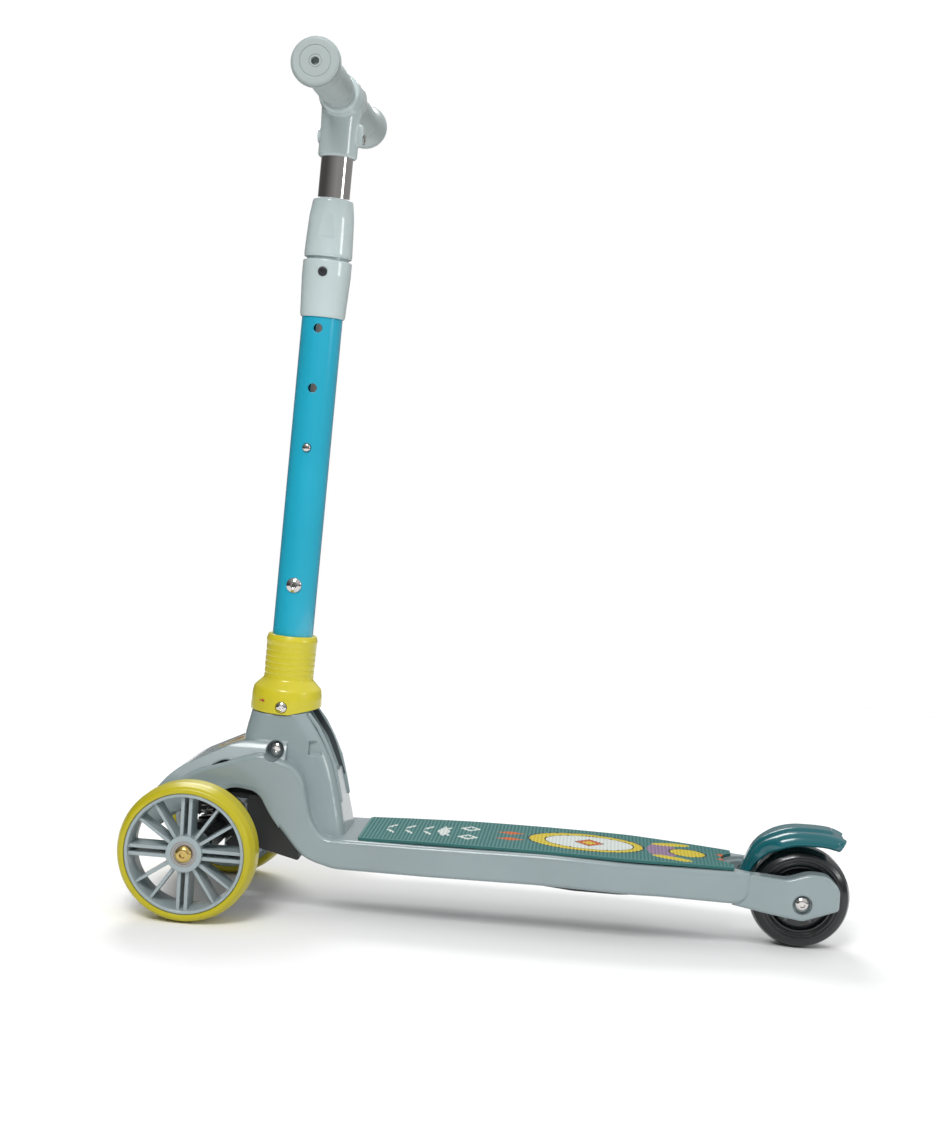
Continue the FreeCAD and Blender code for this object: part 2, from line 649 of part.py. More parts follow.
def front_tyre():
    """Solid tyre with rounded shoulders and a fine parting line at each side of the tread."""
    y0 = WHEEL_IN
    y1 = TRACK / 2
    r = FRONT_R
    tyre = turned([
        (RIM_R + SEAT, y0 + 0.6, 0.6), (RIM_R + 3.4, y0, 3), (r - 2.6, y0 + 2.4, 4), (r, y0 + 10, 12),
        (r, y1 - 10, 12), (r - 2.6, y1 - 2.4, 4), (RIM_R + 3.4, y1, 3), (RIM_R + SEAT, y1 - 0.6, 0.6),
    ], "Y")
    return tyre.translated(V(X_FRONT, 0, FRONT_R))


def bearing(y0, y1, at):
    """Shielded ball bearing as one ring with a groove between its races."""
    race = ring(BEARING_R, BEARING_BORE, y0, y1, "Y", at)
    grooves = [ring(8.8, 6.0, y1 - 0.5, y1 + 1, "Y", at), ring(8.8, 6.0, y0 - 1, y0 + 0.5, "Y", at)]
    return race.cut(grooves)


def front_bearings():
    at = (X_FRONT, 0, FRONT_R)
    y0 = WHEEL_IN + 0.6
    y1 = TRACK / 2 - 1.0
    outer = bearing(y1 - 0.6 - BEARING_W, y1 - 0.8, at)
    inner = bearing(y0 + 1.4, y0 + 1.2 + BEARING_W, at)
    return [outer, inner]


def axle_bolt():
    """Yellow-plated axle bolt with a domed hexagon-key head."""
    seat = TRACK / 2 - 1.8 + 0.1
    head = turned([(0, 0), (7.3, 0), (7.3, 2.2, 1), (5.0, 4.2, 3), (0, 4.2)], "Y").cut(socket(2.9, 2.6, 4.6))
    shank = cyl(AXLE_R, WHEEL_IN - 30 - seat, 0.01, "Y")
    washer = ring(5.4, AXLE_R - 1, WHEEL_IN + 0.4 - seat, WHEEL_IN + 1.7 - seat, "Y")
    return union(head, shank, washer).translated(V(X_FRONT, seat, FRONT_R))


# ---------------------------------------------------------------- rear wheel and brake
def rear_core():
    y = REAR_W / 2
    core = turned([
        (HUB_R - 1.5, -y + 1.5), (HUB_R, -y + 1.5), (HUB_R + 1.5, -y + 6, 3), (26.0, -y + 6, 3), (27.5, -y + 2),
        (29.0, -y + 2), (29.0, y - 2), (27.5, y - 2), (26.0, y - 6, 3), (HUB_R + 1.5, y - 6, 3), (HUB_R, y - 1.5),
        (HUB_R - 1.5, y - 1.5),
    ], "Y")
    tube = ring(HUB_R - 1.4, AXLE_R + 2.2, -y + 1.5, y - 1.5, "Y")
    seat = cyl(BEARING_R + SEAT, y - 1.5 - BEARING_W, y, "Y")
    holes = [cyl(3.0, -20, 20, "Y", (21.0 * math.cos(a), 0, 21.0 * math.sin(a)))
             for a in [i * math.pi / 3 for i in range(6)]]
    core = union(core, tube).cut([seat, mirror_y(seat)] + holes)
    return core.translated(V(X_REAR, 0, REAR_R))


def rear_tyre():
    y = REAR_W / 2
    r = REAR_R
    tyre = turned([
        (29.0 + SEAT, -y + 1.8), (31.0, -y + 0.8, 1), (36.5, -y, 4), (r - 2.4, -y + 3.2, 4), (r, -y + 10, 14),
        (r, y - 10, 14), (r - 2.4, y - 3.2, 4), (36.5, y, 4), (31.0, y - 0.8, 1), (29.0 + SEAT, y - 1.8),
    ], "Y")
    grooves = [ring(33.4, 32.4, y - 1.0, y + 1, "Y"), ring(33.4, 32.4, -y - 1, -y + 1.0, "Y")]
    return tyre.cut(grooves).translated(V(X_REAR, 0, REAR_R))


def rear_bearings():
    at = (X_REAR, 0, REAR_R)
    y = REAR_W / 2
    return [bearing(y - 1.5 - BEARING_W, y - 1.6, at), bearing(-y + 1.6, -y + 1.5 + BEARING_W, at)]


def rear_spacers():
    y = REAR_W / 2
    outer = ring(6.0, AXLE_R + SEAT, y - 1.4, FORK_IN - 0.02, "Y", (X_REAR, 0, REAR_R))
    return [outer, mirror_y(outer)]


def rear_axle():
    seat = FORK_OUT - 5.0
    head = turned([(0, 0), (6.6, 0), (6.6, 2.6, 1.4), (3.6, 4.4, 3), (0, 4.4)], "Y").cut(socket(2.6, 2.4, 4.8))
    shank = cyl(AXLE_R, -2 * seat - 6, 0.01, "Y")
    return union(head, shank).translated(V(X_REAR, seat, REAR_R))


def rear_axle_nut():
    hexagon = [(6.6 * math.cos(i * math.pi / 3), 6.6 * math.sin(i * math.pi / 3)) for i in range(6)]
    low = -FORK_OUT + 5.0
    nut = prism(hexagon, low - 4.6, low).cut(cyl(AXLE_R + SEAT, -60, 0, "Y"))
    return nut.translated(V(X_REAR, 0, REAR_R))


FENDER_GAP = 3.4


def brake_fender():
    """Stepped fender over the rear wheel; its foot turns on a pin in the deck notch."""
    inner = REAR_R + FENDER_GAP
    skins = []
    for half, outer, start, end in ((27.0, 57.6, -36, 44), (19.0, 60.6, -36, 50), (9.5, 63.0, -27, 50)):
        band = cyl(outer, -half, half, "Y").cut(cyl(inner, -half - 1, half + 1, "Y"))
        reach = 90.0
        wedge = prism([
            (0, 0), (reach * math.sin(math.radians(start)), reach * math.cos(math.radians(start))), (0, reach * 1.2),
            (reach * math.sin(math.radians(end)), reach * math.cos(math.radians(end))),
        ], -40, 40)
        skins.append(band.common(wedge))
    shell = union(*skins)
    shell = shell.cut(cyl(53.0, -24.0, 24.0, "Y").cut(cyl(inner, -30, 30, "Y")).common(
        box(-26, 60, -24, 24, 0, 90)))
    shell.translate(V(X_REAR, 0, REAR_R))
    foot = prism([
        (PIN_X - 5, PIN_Z - 5, 4), (PIN_X + 5, PIN_Z - 5, 5), (PIN_X + 5, PIN_Z + 6, 8), (PIN_X - 6, PIN_Z + 26),
        (PIN_X - 20, PIN_Z + 20), (PIN_X - 6, PIN_Z + 6, 6),
    ], -13.5, 13.5)
    wheel_room = cyl(inner, -40, 40, "Y", (X_REAR, 0, REAR_R))
    pin_bore = cyl(PIN_R + RUN, -60, 60, "Y", (PIN_X, 0, PIN_Z))
    return union(shell, foot).cut([wheel_room, pin_bore])


def fender_pin():
    return cyl(PIN_R, -PIN_HALF, PIN_HALF, "Y", (PIN_X, 0, PIN_Z))


# ---------------------------------------------------------------- stem, all drawn upright and carried over
def stem_tube():
    tube = ring(TUBE_R, TUBE_IN, TUBE_LOW, TUBE_TOP)
    holes = [cyl(4.0, 0, 60, "Y", (0, 0, HOLE_FIRST + k * HOLE_PITCH)) for k in range(HOLE_COUNT)]
    bolt_hole = cyl(FOLD_R + SEAT, -60, 60, "Y", (0, 0, STEM_BOLT_AT))
    screw_hole = cyl(2.0, 0, 60, "Y", (0, 0, SLEEVE_SCREW_AT))
    return on_stem(tube.cut(holes + [bolt_hole, screw_hole]))


def fold_block():
    """Stem foot: a rounded knuckle on the fold bolt and a plug up the tube."""
    knuckle = cyl(TUBE_R, -TUBE_R + 0.1, TUBE_R - 0.1, "Y")
    shoulder = cyl(TUBE_R, 0, TUBE_LOW - SEAT).common(box(-30, 30, -TUBE_R + 0.1, TUBE_R - 0.1, -1, 60))
    plug = cyl(TUBE_IN - SEAT, 0, STEM_BOLT_AT + 15)
    bore = cyl(FOLD_R + 2.0, -60, 60, "Y")
    bolt_hole = cyl(FOLD_R + SEAT, -60, 60, "Y", (0, 0, STEM_BOLT_AT))
    hollow = cyl(10.0, 40, STEM_BOLT_AT - 15)
    return on_stem(union(knuckle, shoulder, plug).cut([bore, bolt_hole, hollow]))


def fold_bush():
    return on_stem(ring(FOLD_R + 2.0 - SEAT, FOLD_R + RUN, -TUBE_R + 0.1, TUBE_R - 0.1, "Y"))


def fold_bolt():
    seat = 25.0
    head = turned([(0, 0), (6.4, 0), (6.4, 2.4, 1.4), (3.4, 4.2, 3), (0, 4.2)], "Y").cut(socket(2.6, 2.4, 4.6))
    bolt = union(head, cyl(FOLD_R, -2 * seat - 5.5, 0.01, "Y"))
    return bolt.translated(V(PIVOT_X, seat, PIVOT_Z))


def fold_nut():
    hexagon = [(6.5 * math.cos(i * math.pi / 3), 6.5 * math.sin(i * math.pi / 3)) for i in range(6)]
    nut = prism(hexagon, -25.0 - 4.6, -25.0).cut(cyl(FOLD_R + SEAT, -60, 0, "Y"))
    return nut.translated(V(PIVOT_X, 0, PIVOT_Z))


def stem_bolt():
    head = turned([(0, 0), (7.0, 0), (6.6, 2.0, 1.4), (3.4, 3.9, 3), (0, 3.9)], "Y").cut(socket(2.5, 2.2, 4.3))
    head = head.translated(V(0, TUBE_R - 1.2, STEM_BOLT_AT)).cut(cyl(TUBE_R + SEAT, 100, 200))
    shank = cyl(FOLD_R, -TUBE_R - 5, TUBE_R + 0.6, "Y", (0, 0, STEM_BOLT_AT))
    return on_stem(union(head, shank))


def stem_nut():
    hexagon = [(6.5 * math.cos(i * math.pi / 3), 6.5 * math.sin(i * math.pi / 3)) for i in range(6)]
    nut = prism(hexagon, -TUBE_R - 4.2, -TUBE_R + 1).cut(cyl(FOLD_R + SEAT, -60, 0, "Y"))
    return on_stem(nut.translated(V(0, 0, STEM_BOLT_AT)).cut(cyl(TUBE_R + SEAT, 100, 200)))


def lower_sleeve():
    """Clamp sleeve on the tube's top, with a spigot that carries the twist-lock nut."""
    sleeve = turned([
        (TUBE_R + SEAT, SLEEVE_LOW), (SLEEVE_R_LOW - 0.8, SLEEVE_LOW), (SLEEVE_R_LOW, SLEEVE_LOW + 2, 1),
        (SLEEVE_R, SLEEVE_TOP - 14, 60), (SLEEVE_R, SLEEVE_TOP, 2), (18.4, SLEEVE_TOP, 1), (18.4, SLEEVE_TOP + 36),
        (16.6, SLEEVE_TOP + 36), (16.6, TUBE_TOP + 0.1), (TUBE_R + SEAT, TUBE_TOP + 0.1),
    ])
    at = (0, 0, SLEEVE_SCREW_AT)
    return on_stem(sleeve.cut([cyl(2.0, 0, 60, "Y", at), cyl(4.1, SLEEVE_R - 1.25, 60, "Y", at)]))


def sleeve_screw():
    seat = SLEEVE_R - 1.2
    head = turned([(0, 0), (4.0, 0), (4.0, 2.2, 0.8), (0, 2.2)], "Y").cut(socket(2.0, 1.4, 2.6))
    screw = union(head, cyl(1.95, TUBE_IN + 0.3 - seat, 0.01, "Y"))
    return on_stem(screw.translated(V(0, seat, SLEEVE_SCREW_AT)))


def fold_collar():
    """Sliding collar: barrel with fine ridges above a skirt that hoods the neck."""
    low = COLLAR_LOW
    top = COLLAR_TOP
    ridges = []
    for k in range(5):
        z = top - 14 - 5.2 * k
        ridges += [(COLLAR_R, z, 0.4), (COLLAR_R - 0.7, z - 1.2, 0.4), (COLLAR_R, z - 2.4, 0.4)]
    profile = [
        (TUBE_R + 0.1, low + 16, 2), (TUBE_R + 0.1, top - 1, 1), (COLLAR_R - 1, top, 2), (COLLAR_R + 0.6, top - 5, 4),
        (COLLAR_R, top - 10, 3),
    ] + ridges + [
        (COLLAR_R, low + 29, 8), (SKIRT_R - 1.6, low + 21, 5), (SKIRT_R - 0.4, low + 14, 20), (SKIRT_R, low, 0.8),
        (SKIRT_R - 3, low, 0.8), (SKIRT_R - 4.2, low + 10, 3), (TUBE_R + 4, low + 14, 3),
    ]
    collar = turned(profile)
    rear_cut = prism([
        (-60, low - 10), (-2, low - 10), (-2, low - 2), (-12, low + 1.5, 20), (-60, low + 12.5),
    ], -60, 60)
    screws = [cyl(5.3, SKIRT_R - 2.4, 60, "Y", (COLLAR_SCREW_X, 0, low + 6.4)),
              cyl(2.0, 20, 60, "Y", (COLLAR_SCREW_X, 0, low + 6.4))]
    return on_stem(collar.cut([rear_cut] + screws + [mirror_y(s) for s in screws]))


COLLAR_SCREW_X = -1.0


def collar_screws():
    seat = SKIRT_R - 2.4
    screw = pan_screw(5.0, 2.2, 1.95, 3.0).rotated(V(0, 0, 0), V(1, 0, 0), -90)
    screw = screw.translated(V(COLLAR_SCREW_X, seat, COLLAR_LOW + 6.4))
    return [on_stem(screw), on_stem(mirror_y(screw))]


def clamp_nut():
    """Twist-lock nut with two recessed finger panels."""
    low = SLEEVE_TOP + 2.5
    top = NUT_TOP
    body = turned([
        (18.4 + 0.25, low), (NUT_R - 0.5, low), (NUT_R, low + 3, 1), (NUT_R - 0.7, low + 20, 80),
        (NUT_R - 1.5, top - 16, 30), (17.8, top - 2, 4), (16.6, top, 2), (MAST_R + 0.3, top),
        (MAST_R + 0.3, SLEEVE_TOP + 40), (18.4 + 0.25, SLEEVE_TOP + 37),
    ])
    panel = prism([(-9, low + 16, 4), (9, low + 16, 4), (9, top - 9, 4), (-9, top - 9, 4)], NUT_R - 1.9, 60)
    panels = [panel.rotated(V(0, 0, 0), V(0, 0, 1), 180 * k) for k in range(2)]
    return on_stem(body.cut(panels))


def clamp_collet():
    """Slit plastic cone that the nut squeezes on to the mast."""
    collet = turned([
        (MAST_R + RUN, TUBE_TOP + 0.4), (16.6 - 0.15, TUBE_TOP + 0.4), (16.6 - 0.15, SLEEVE_TOP + 35.5),
        (MAST_R + 1.2, SLEEVE_TOP + 38.5), (MAST_R + RUN, SLEEVE_TOP + 38.5),
    ])
    slit = box(0, 40, -0.8, 0.8, TUBE_TOP + 8, SLEEVE_TOP + 60)
    return on_stem(collet.cut([slit.rotated(V(0, 0, 0), V(0, 0, 1), 120 * k) for k in range(3)]))


# ---------------------------------------------------------------- mast and handlebar
def mast_tube():
    tube = ring(MAST_R, MAST_IN, MAST_LOW, BAR_AT - BAR_R - 1.0)
    button = cyl(3.9, 0, 60, "Y", (0, 0, HOLE_FIRST))
    bolt = cyl(2.6, -60, 60, "X", (0, 0, TEE_BOLT_AT))
    return on_stem(tube.cut([button, bolt]))


def glide_bush():
    sleeve = ring(TUBE_IN - RUN, MAST_R + SEAT, MAST_LOW, MAST_LOW + 12)
    foot = ring(TUBE_IN - RUN, MAST_IN - 1.4, MAST_LOW - 3, MAST_LOW)
    return on_stem(union(sleeve, foot))


def snap_button():
    pin = turned([(0, 0), (4.6, 0), (4.6, 1.2), (3.6, 1.2), (3.6, 10.0, 2.0), (1.0, 10.6), (0, 10.6)], "Y")
    return on_stem(pin.translated(V(0, 9.9, HOLE_FIRST)))


def snap_spring():
    """Folded leaf inside the mast that pushes the button out."""
    leaf = [
        (9.5, HOLE_FIRST + 6), (8.7, HOLE_FIRST + 6), (9.2, HOLE_FIRST - 14, 8), (0, HOLE_FIRST - 20, 12),
        (-10.8, HOLE_FIRST - 14, 8), (-10.8, HOLE_FIRST + 6), (-11.6, HOLE_FIRST + 6), (-11.6, HOLE_FIRST - 15, 8),
        (0, HOLE_FIRST - 21, 12), (10.0, HOLE_FIRST - 15, 8),
    ]
    return on_stem(prism(leaf, -3.5, 3.5, "YZ"))


def t_joint():
    """Moulded joint: socket over the mast, barrel round the handlebar, clamp bolt fore and aft."""
    at = (0, 0, BAR_AT)
    stem = turned([
        (0, TEE_LOW), (16.0, TEE_LOW), (17.2, TEE_LOW + 1.6, 1), (17.2, TEE_LOW + 8, 6), (16.8, TEE_LOW + 24, 40),
        (18.4, BAR_AT, 30), (0, BAR_AT),
    ])
    barrel = turned([
        (0, -TEE_HALF), (TEE_R - 3.4, -TEE_HALF), (TEE_R - 1.6, -TEE_HALF + 2, 1.5), (TEE_R, -TEE_HALF + 14, 30),
        (TEE_R + 0.6, 0, 60), (TEE_R, TEE_HALF - 14, 30), (TEE_R - 1.6, TEE_HALF - 2, 1.5),
        (TEE_R - 3.4, TEE_HALF), (0, TEE_HALF),
    ], "Y", at)
    lug = cyl(5.6, -22.0, 19.0, "X", (0, 0, TEE_BOLT_AT))
    tail = box(-21.0, -12.0, -5.6, 5.6, TEE_BOLT_AT - 6, TEE_BOLT_AT + 12)
    mast = cyl(MAST_R + SEAT, 0, BAR_AT - BAR_R - 0.9)
    bar = cyl(BAR_R + SEAT, -60, 60, "Y", at)
    bolt = cyl(2.55, -60, 60, "X", (0, 0, TEE_BOLT_AT))
    head = cyl(4.6, 15.6, 40, "X", (0, 0, TEE_BOLT_AT))
    nut = cyl(4.7, -40, -19.4, "X", (0, 0, TEE_BOLT_AT))
    return on_stem(union(stem, barrel, lug, tail).cut([mast, bar, bolt, head, nut]))


def t_bolt():
    head = cyl(4.3, 15.7, 18.6, "X").cut(cyl(2.0, 17.0, 30, "X"))
    bolt = union(head, cyl(2.5, -21.6, 15.8, "X"))
    return on_stem(bolt.translated(V(0, 0, TEE_BOLT_AT)))


def t_nut():
    hexagon = [(4.4 * math.cos(i * math.pi / 3), 4.4 * math.sin(i * math.pi / 3)) for i in range(6)]
    nut = prism(hexagon, -22.8, -19.5, "YZ").cut(cyl(2.52, -40, 40, "X"))
    return on_stem(nut.translated(V(0, 0, TEE_BOLT_AT)))


def handlebar_tube():
    reach = BAR_WIDTH / 2 - 7
    return on_stem(ring(BAR_R, BAR_R - BAR_WALL, -reach, reach, "Y", (0, 0, BAR_AT)))


def left_grip():
    """Grip with a trumpet end and fine ribs round the palm stretch."""
    end = BAR_WIDTH / 2 - CAP_T
    start = TEE_HALF + 0.3
    ribs = []
    for k in range(12):
        y = start + 24 + k * 5.0
        ribs += [(GRIP_R + 0.9, y, 0.5), (GRIP_R + 0.1, y + 1.1, 0.5), (GRIP_R + 0.1, y + 3.2, 0.5),
                 (GRIP_R + 0.9, y + 4.3, 0.5)]
    grip = turned([
        (BAR_R + SEAT, start), (GRIP_R - 0.6, start), (GRIP_R, start + 2, 1), (GRIP_R + 0.9, start + 18, 40),
    ] + ribs + [
        (GRIP_R + 1.4, end - 22, 20), (FLANGE_R - 1.6, end - 6, 8), (FLANGE_R, end - 3.5, 1.2),
        (FLANGE_R, end - 0.4, 0.6), (BAR_R + SEAT, end - 0.4),
    ], "Y", (0, 0, BAR_AT))
    return on_stem(grip)


def left_cap():
    """End disc with a plug into the tube, a centre hole and two shallow rings."""
    end = BAR_WIDTH / 2
    disc = turned([
        (3.3, end - CAP_T - 0.4), (CAP_R, end - CAP_T - 0.4), (CAP_R, end - 1.2, 1), (CAP_R - 1.6, end, 1.4),
        (13.0, end), (12.6, end - 0.5), (12.0, end), (5.4, end), (5.0, end - 0.5), (4.6, end), (3.3, end),
    ], "Y", (0, 0, BAR_AT))
    plug = ring(BAR_R - BAR_WALL - SEAT, 3.3, end - 22, end - CAP_T - 0.3, "Y", (0, 0, BAR_AT))
    core = cyl(3.4, end - 22, end - 6, "Y", (0, 0, BAR_AT))
    return on_stem(union(disc, plug, core))


# ---------------------------------------------------------------- every sub-part
deck_shell()
slot_liner()
keep("grip_mat", grip_mat().cut(PIECES["deck_shell"][0]))
keep("belly_plate", belly_plate())
keep("belly_screws", *belly_screws())
keep("front_housing", front_housing())
keep("housing_screws", *housing_screws())
keep("fold_bolt", fold_bolt())
keep("fold_nut", fold_nut())
keep("king_bolt", king_bolt())
keep("king_nut", king_nut())
keep("king_bushes", *king_bushes())
keep("truck_beam", truck_beam())
keep("lean_springs", *lean_springs())
for side, turn in (("left", lambda shape: shape), ("right", mirror_y)):
    keep("rim_" + side, turn(front_rim()))
    keep("tyre_" + side, turn(front_tyre()))
    keep("bearings_" + side, *[turn(b) for b in front_bearings()])
    keep("axle_bolt_" + side, turn(axle_bolt()))
    keep("grip_" + side, turn(left_grip()))
    keep("end_cap_" + side, turn(left_cap()))
keep("rear_core", rear_core())
keep("rear_tyre", rear_tyre())
keep("rear_bearings", *rear_bearings())
keep("rear_spacers", *rear_spacers())
keep("rear_axle", rear_axle())
keep("rear_axle_nut", rear_axle_nut())
keep("brake_fender", brake_fender())
keep("fender_pin", fender_pin())
keep("stem_tube", stem_tube())
keep("fold_block", fold_block())
keep("fold_bush", fold_bush())
keep("stem_bolt", stem_bolt())
keep("stem_nut", stem_nut())
keep("lower_sleeve", lower_sleeve())
keep("sleeve_screw", sleeve_screw())
keep("fold_collar", fold_collar())
keep("collar_screws", *collar_screws())
keep("clamp_nut", clamp_nut())
keep("clamp_collet", clamp_collet())
keep("mast_tube", mast_tube())
keep("glide_bush", glide_bush())
keep("snap_button", snap_button())
keep("snap_spring", snap_spring())
keep("t_joint", t_joint())
keep("t_bolt", t_bolt())
keep("t_nut", t_nut())
keep("handlebar_tube", handlebar_tube())

os.makedirs("parts", exist_ok=True)
for name, solids in PIECES.items():
    shape = solids[0] if len(solids) == 1 else Part.makeCompound(solids)
    shape.exportStep("parts/" + name + ".step")
    volume = sum(s.Volume for s in solids)
    valid = all(s.isValid() for s in solids)
    print(name, len(solids), round(volume), valid)
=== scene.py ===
import json
import math
import bpy
import bmesh
from mathutils import Matrix, Vector
from mathutils.bvhtree import BVHTree


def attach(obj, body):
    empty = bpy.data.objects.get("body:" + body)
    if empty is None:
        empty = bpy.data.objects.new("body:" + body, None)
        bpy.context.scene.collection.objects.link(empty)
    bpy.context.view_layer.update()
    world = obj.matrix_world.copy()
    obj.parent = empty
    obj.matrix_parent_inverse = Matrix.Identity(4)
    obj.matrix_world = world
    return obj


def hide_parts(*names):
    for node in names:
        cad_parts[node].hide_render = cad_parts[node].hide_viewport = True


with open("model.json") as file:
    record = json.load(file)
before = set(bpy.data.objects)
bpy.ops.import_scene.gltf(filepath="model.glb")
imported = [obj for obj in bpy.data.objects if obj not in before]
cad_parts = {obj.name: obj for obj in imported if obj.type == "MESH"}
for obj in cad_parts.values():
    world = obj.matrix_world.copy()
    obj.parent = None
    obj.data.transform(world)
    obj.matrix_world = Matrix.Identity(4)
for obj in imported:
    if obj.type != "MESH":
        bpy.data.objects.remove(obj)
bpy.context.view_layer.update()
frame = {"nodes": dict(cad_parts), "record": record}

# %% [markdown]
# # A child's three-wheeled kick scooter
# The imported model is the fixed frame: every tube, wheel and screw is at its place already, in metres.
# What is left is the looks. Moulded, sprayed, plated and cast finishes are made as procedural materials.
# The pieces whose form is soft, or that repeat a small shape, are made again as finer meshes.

scene = bpy.context.scene
scene.view_settings.view_transform = "Standard"

# %% [markdown]
# ## Camera
# A long lens from the scooter's left side, at the height of the lower stem, shows the near front wheel, the
# stem and the deck in one look. The camera is rolled a little, so the stem leans in the picture.
# The three directions of its matrix are worked out from yaw, pitch and roll instead of typed in.

# %% Camera
CAMERA_AT = Vector((-0.0855, 1.541, 0.4186))
YAW = 0.0793
PITCH = -0.0657
ROLL = 0.0651

forward = Vector((math.sin(YAW) * math.cos(PITCH), -math.cos(YAW) * math.cos(PITCH), math.sin(PITCH)))
level = forward.cross(Vector((0, 0, 1))).normalized()
upright = level.cross(forward)
right = level * math.cos(ROLL) + upright * math.sin(ROLL)
up = upright * math.cos(ROLL) - level * math.sin(ROLL)
camera_data = bpy.data.cameras.new("camera")
camera_data.lens = 55.97
camera = bpy.data.objects.new("camera", camera_data)
camera.matrix_world = Matrix.Translation(CAMERA_AT) @ Matrix((right, up, -forward)).transposed().to_4x4()
scene.collection.objects.link(camera)
scene.camera = camera
print("camera at", tuple(round(v, 3) for v in camera.matrix_world.translation))

# %% [markdown]
# ## Floor and light
# A pale round floor ends where the softboxes still light it to white, so it melts into the white backdrop.
# A wide floor would show a grey band below the horizon instead. The sky that lights the scooter is bright
# overhead and dim near the horizon on the viewer's side, because gloss needs something dark to mirror:
# under an evenly white sky, chrome would look like white paint.

# %% Floor
def new_object(name, mesh):
    """Object for a mesh, standing at the origin."""
    obj = bpy.data.objects.new(name, mesh)
    scene.collection.objects.link(obj)
    return obj


def floor_finish():
    """Nearly white, dull, with the faintest cloudiness."""
    mat = bpy.data.materials.new("floor")
    mat.use_nodes = True
    nodes, links = mat.node_tree.nodes, mat.node_tree.links
    shader = nodes["Principled BSDF"]
    shader.inputs["Roughness"].default_value = 0.75
    where = nodes.new("ShaderNodeTexCoord")
    noise = nodes.new("ShaderNodeTexNoise")
    noise.inputs["Scale"].default_value = 2.0
    ramp = nodes.new("ShaderNodeValToRGB")
    ramp.color_ramp.elements[0].color = (0.90, 0.90, 0.90, 1)
    ramp.color_ramp.elements[1].color = (0.91, 0.91, 0.91, 1)
    links.new(where.outputs["Object"], noise.inputs["Vector"])
    links.new(noise.outputs["Fac"], ramp.inputs["Fac"])
    links.new(ramp.outputs["Color"], shader.inputs["Base Color"])
    return mat


FLOOR_RADIUS = 1.7
floor_mesh = bpy.data.meshes.new("floor")
round_floor = bmesh.new()
bmesh.ops.create_circle(round_floor, cap_ends=True, radius=FLOOR_RADIUS, segments=128)
round_floor.to_mesh(floor_mesh)
round_floor.free()
floor = new_object("floor", floor_mesh)
floor.data.materials.append(floor_finish())
print("floor", FLOOR_RADIUS * 2, "m wide")

# %% Sky
world = bpy.data.worlds.new("studio")
scene.world = world
world.use_nodes = True
sky, sky_links = world.node_tree.nodes, world.node_tree.links
direction = sky.new("ShaderNodeTexCoord")
apart = sky.new("ShaderNodeSeparateXYZ")
height = sky.new("ShaderNodeValToRGB")
height.color_ramp.elements[0].position = 0.0
height.color_ramp.elements[0].color = (0.28, 0.28, 0.28, 1)
height.color_ramp.elements[1].position = 0.55
height.color_ramp.elements[1].color = (1.0, 1.0, 1.0, 1)
across = sky.new("ShaderNodeMapRange")
across.inputs["From Min"].default_value = 0.9
across.inputs["From Max"].default_value = -0.3
across.inputs["To Min"].default_value = 0.22
dim = sky.new("ShaderNodeMix")
dim.data_type = "RGBA"
dim.blend_type = "MULTIPLY"
dim.inputs["Factor"].default_value = 1.0
seen = sky.new("ShaderNodeLightPath")
backdrop = sky.new("ShaderNodeMix")
backdrop.data_type = "RGBA"
backdrop.inputs["B"].default_value = (1.25, 1.25, 1.25, 1)
sky_links.new(direction.outputs["Generated"], apart.inputs["Vector"])
sky_links.new(apart.outputs["Z"], height.inputs["Fac"])
sky_links.new(apart.outputs["X"], across.inputs["Value"])
sky_links.new(height.outputs["Color"], dim.inputs["A"])
sky_links.new(across.outputs["Result"], dim.inputs["B"])
sky_links.new(dim.outputs["Result"], backdrop.inputs["A"])
sky_links.new(seen.outputs["Is Camera Ray"], backdrop.inputs["Factor"])
sky_links.new(backdrop.outputs["Result"], sky["Background"].inputs["Color"])
sky["Background"].inputs["Strength"].default_value = 0.8

# %% Softboxes
def softbox(name, at, size, power):
    """Square area light aimed at the middle of the scooter."""
    data = bpy.data.lights.new(name, "AREA")
    data.size = size
    data.energy = power
    lamp = bpy.data.objects.new(name, data)
    lamp.location = at
    lamp.rotation_euler = (Vector((0.0, 0.0, 0.3)) - Vector(at)).to_track_quat("-Z", "Y").to_euler()
    scene.collection.objects.link(lamp)


softbox("key", (0.35, 1.9, 2.2), 0.9, 46)
softbox("rim", (0.5, -1.9, 1.9), 1.3, 34)
softbox("strip", (-2.2, 0.8, 0.9), 0.5, 7)

# %% [markdown]
# ## Finishes
# Moulded plastic is never one flat colour: it is slightly cloudy, has a fine grain and small changes of
# gloss. Steel parts differ in colour, gloss and grain, not in kind. So one function makes every plain finish.
# Object coordinates give the grain its true size on every piece, and a bevel lookup rounds sharp edges.

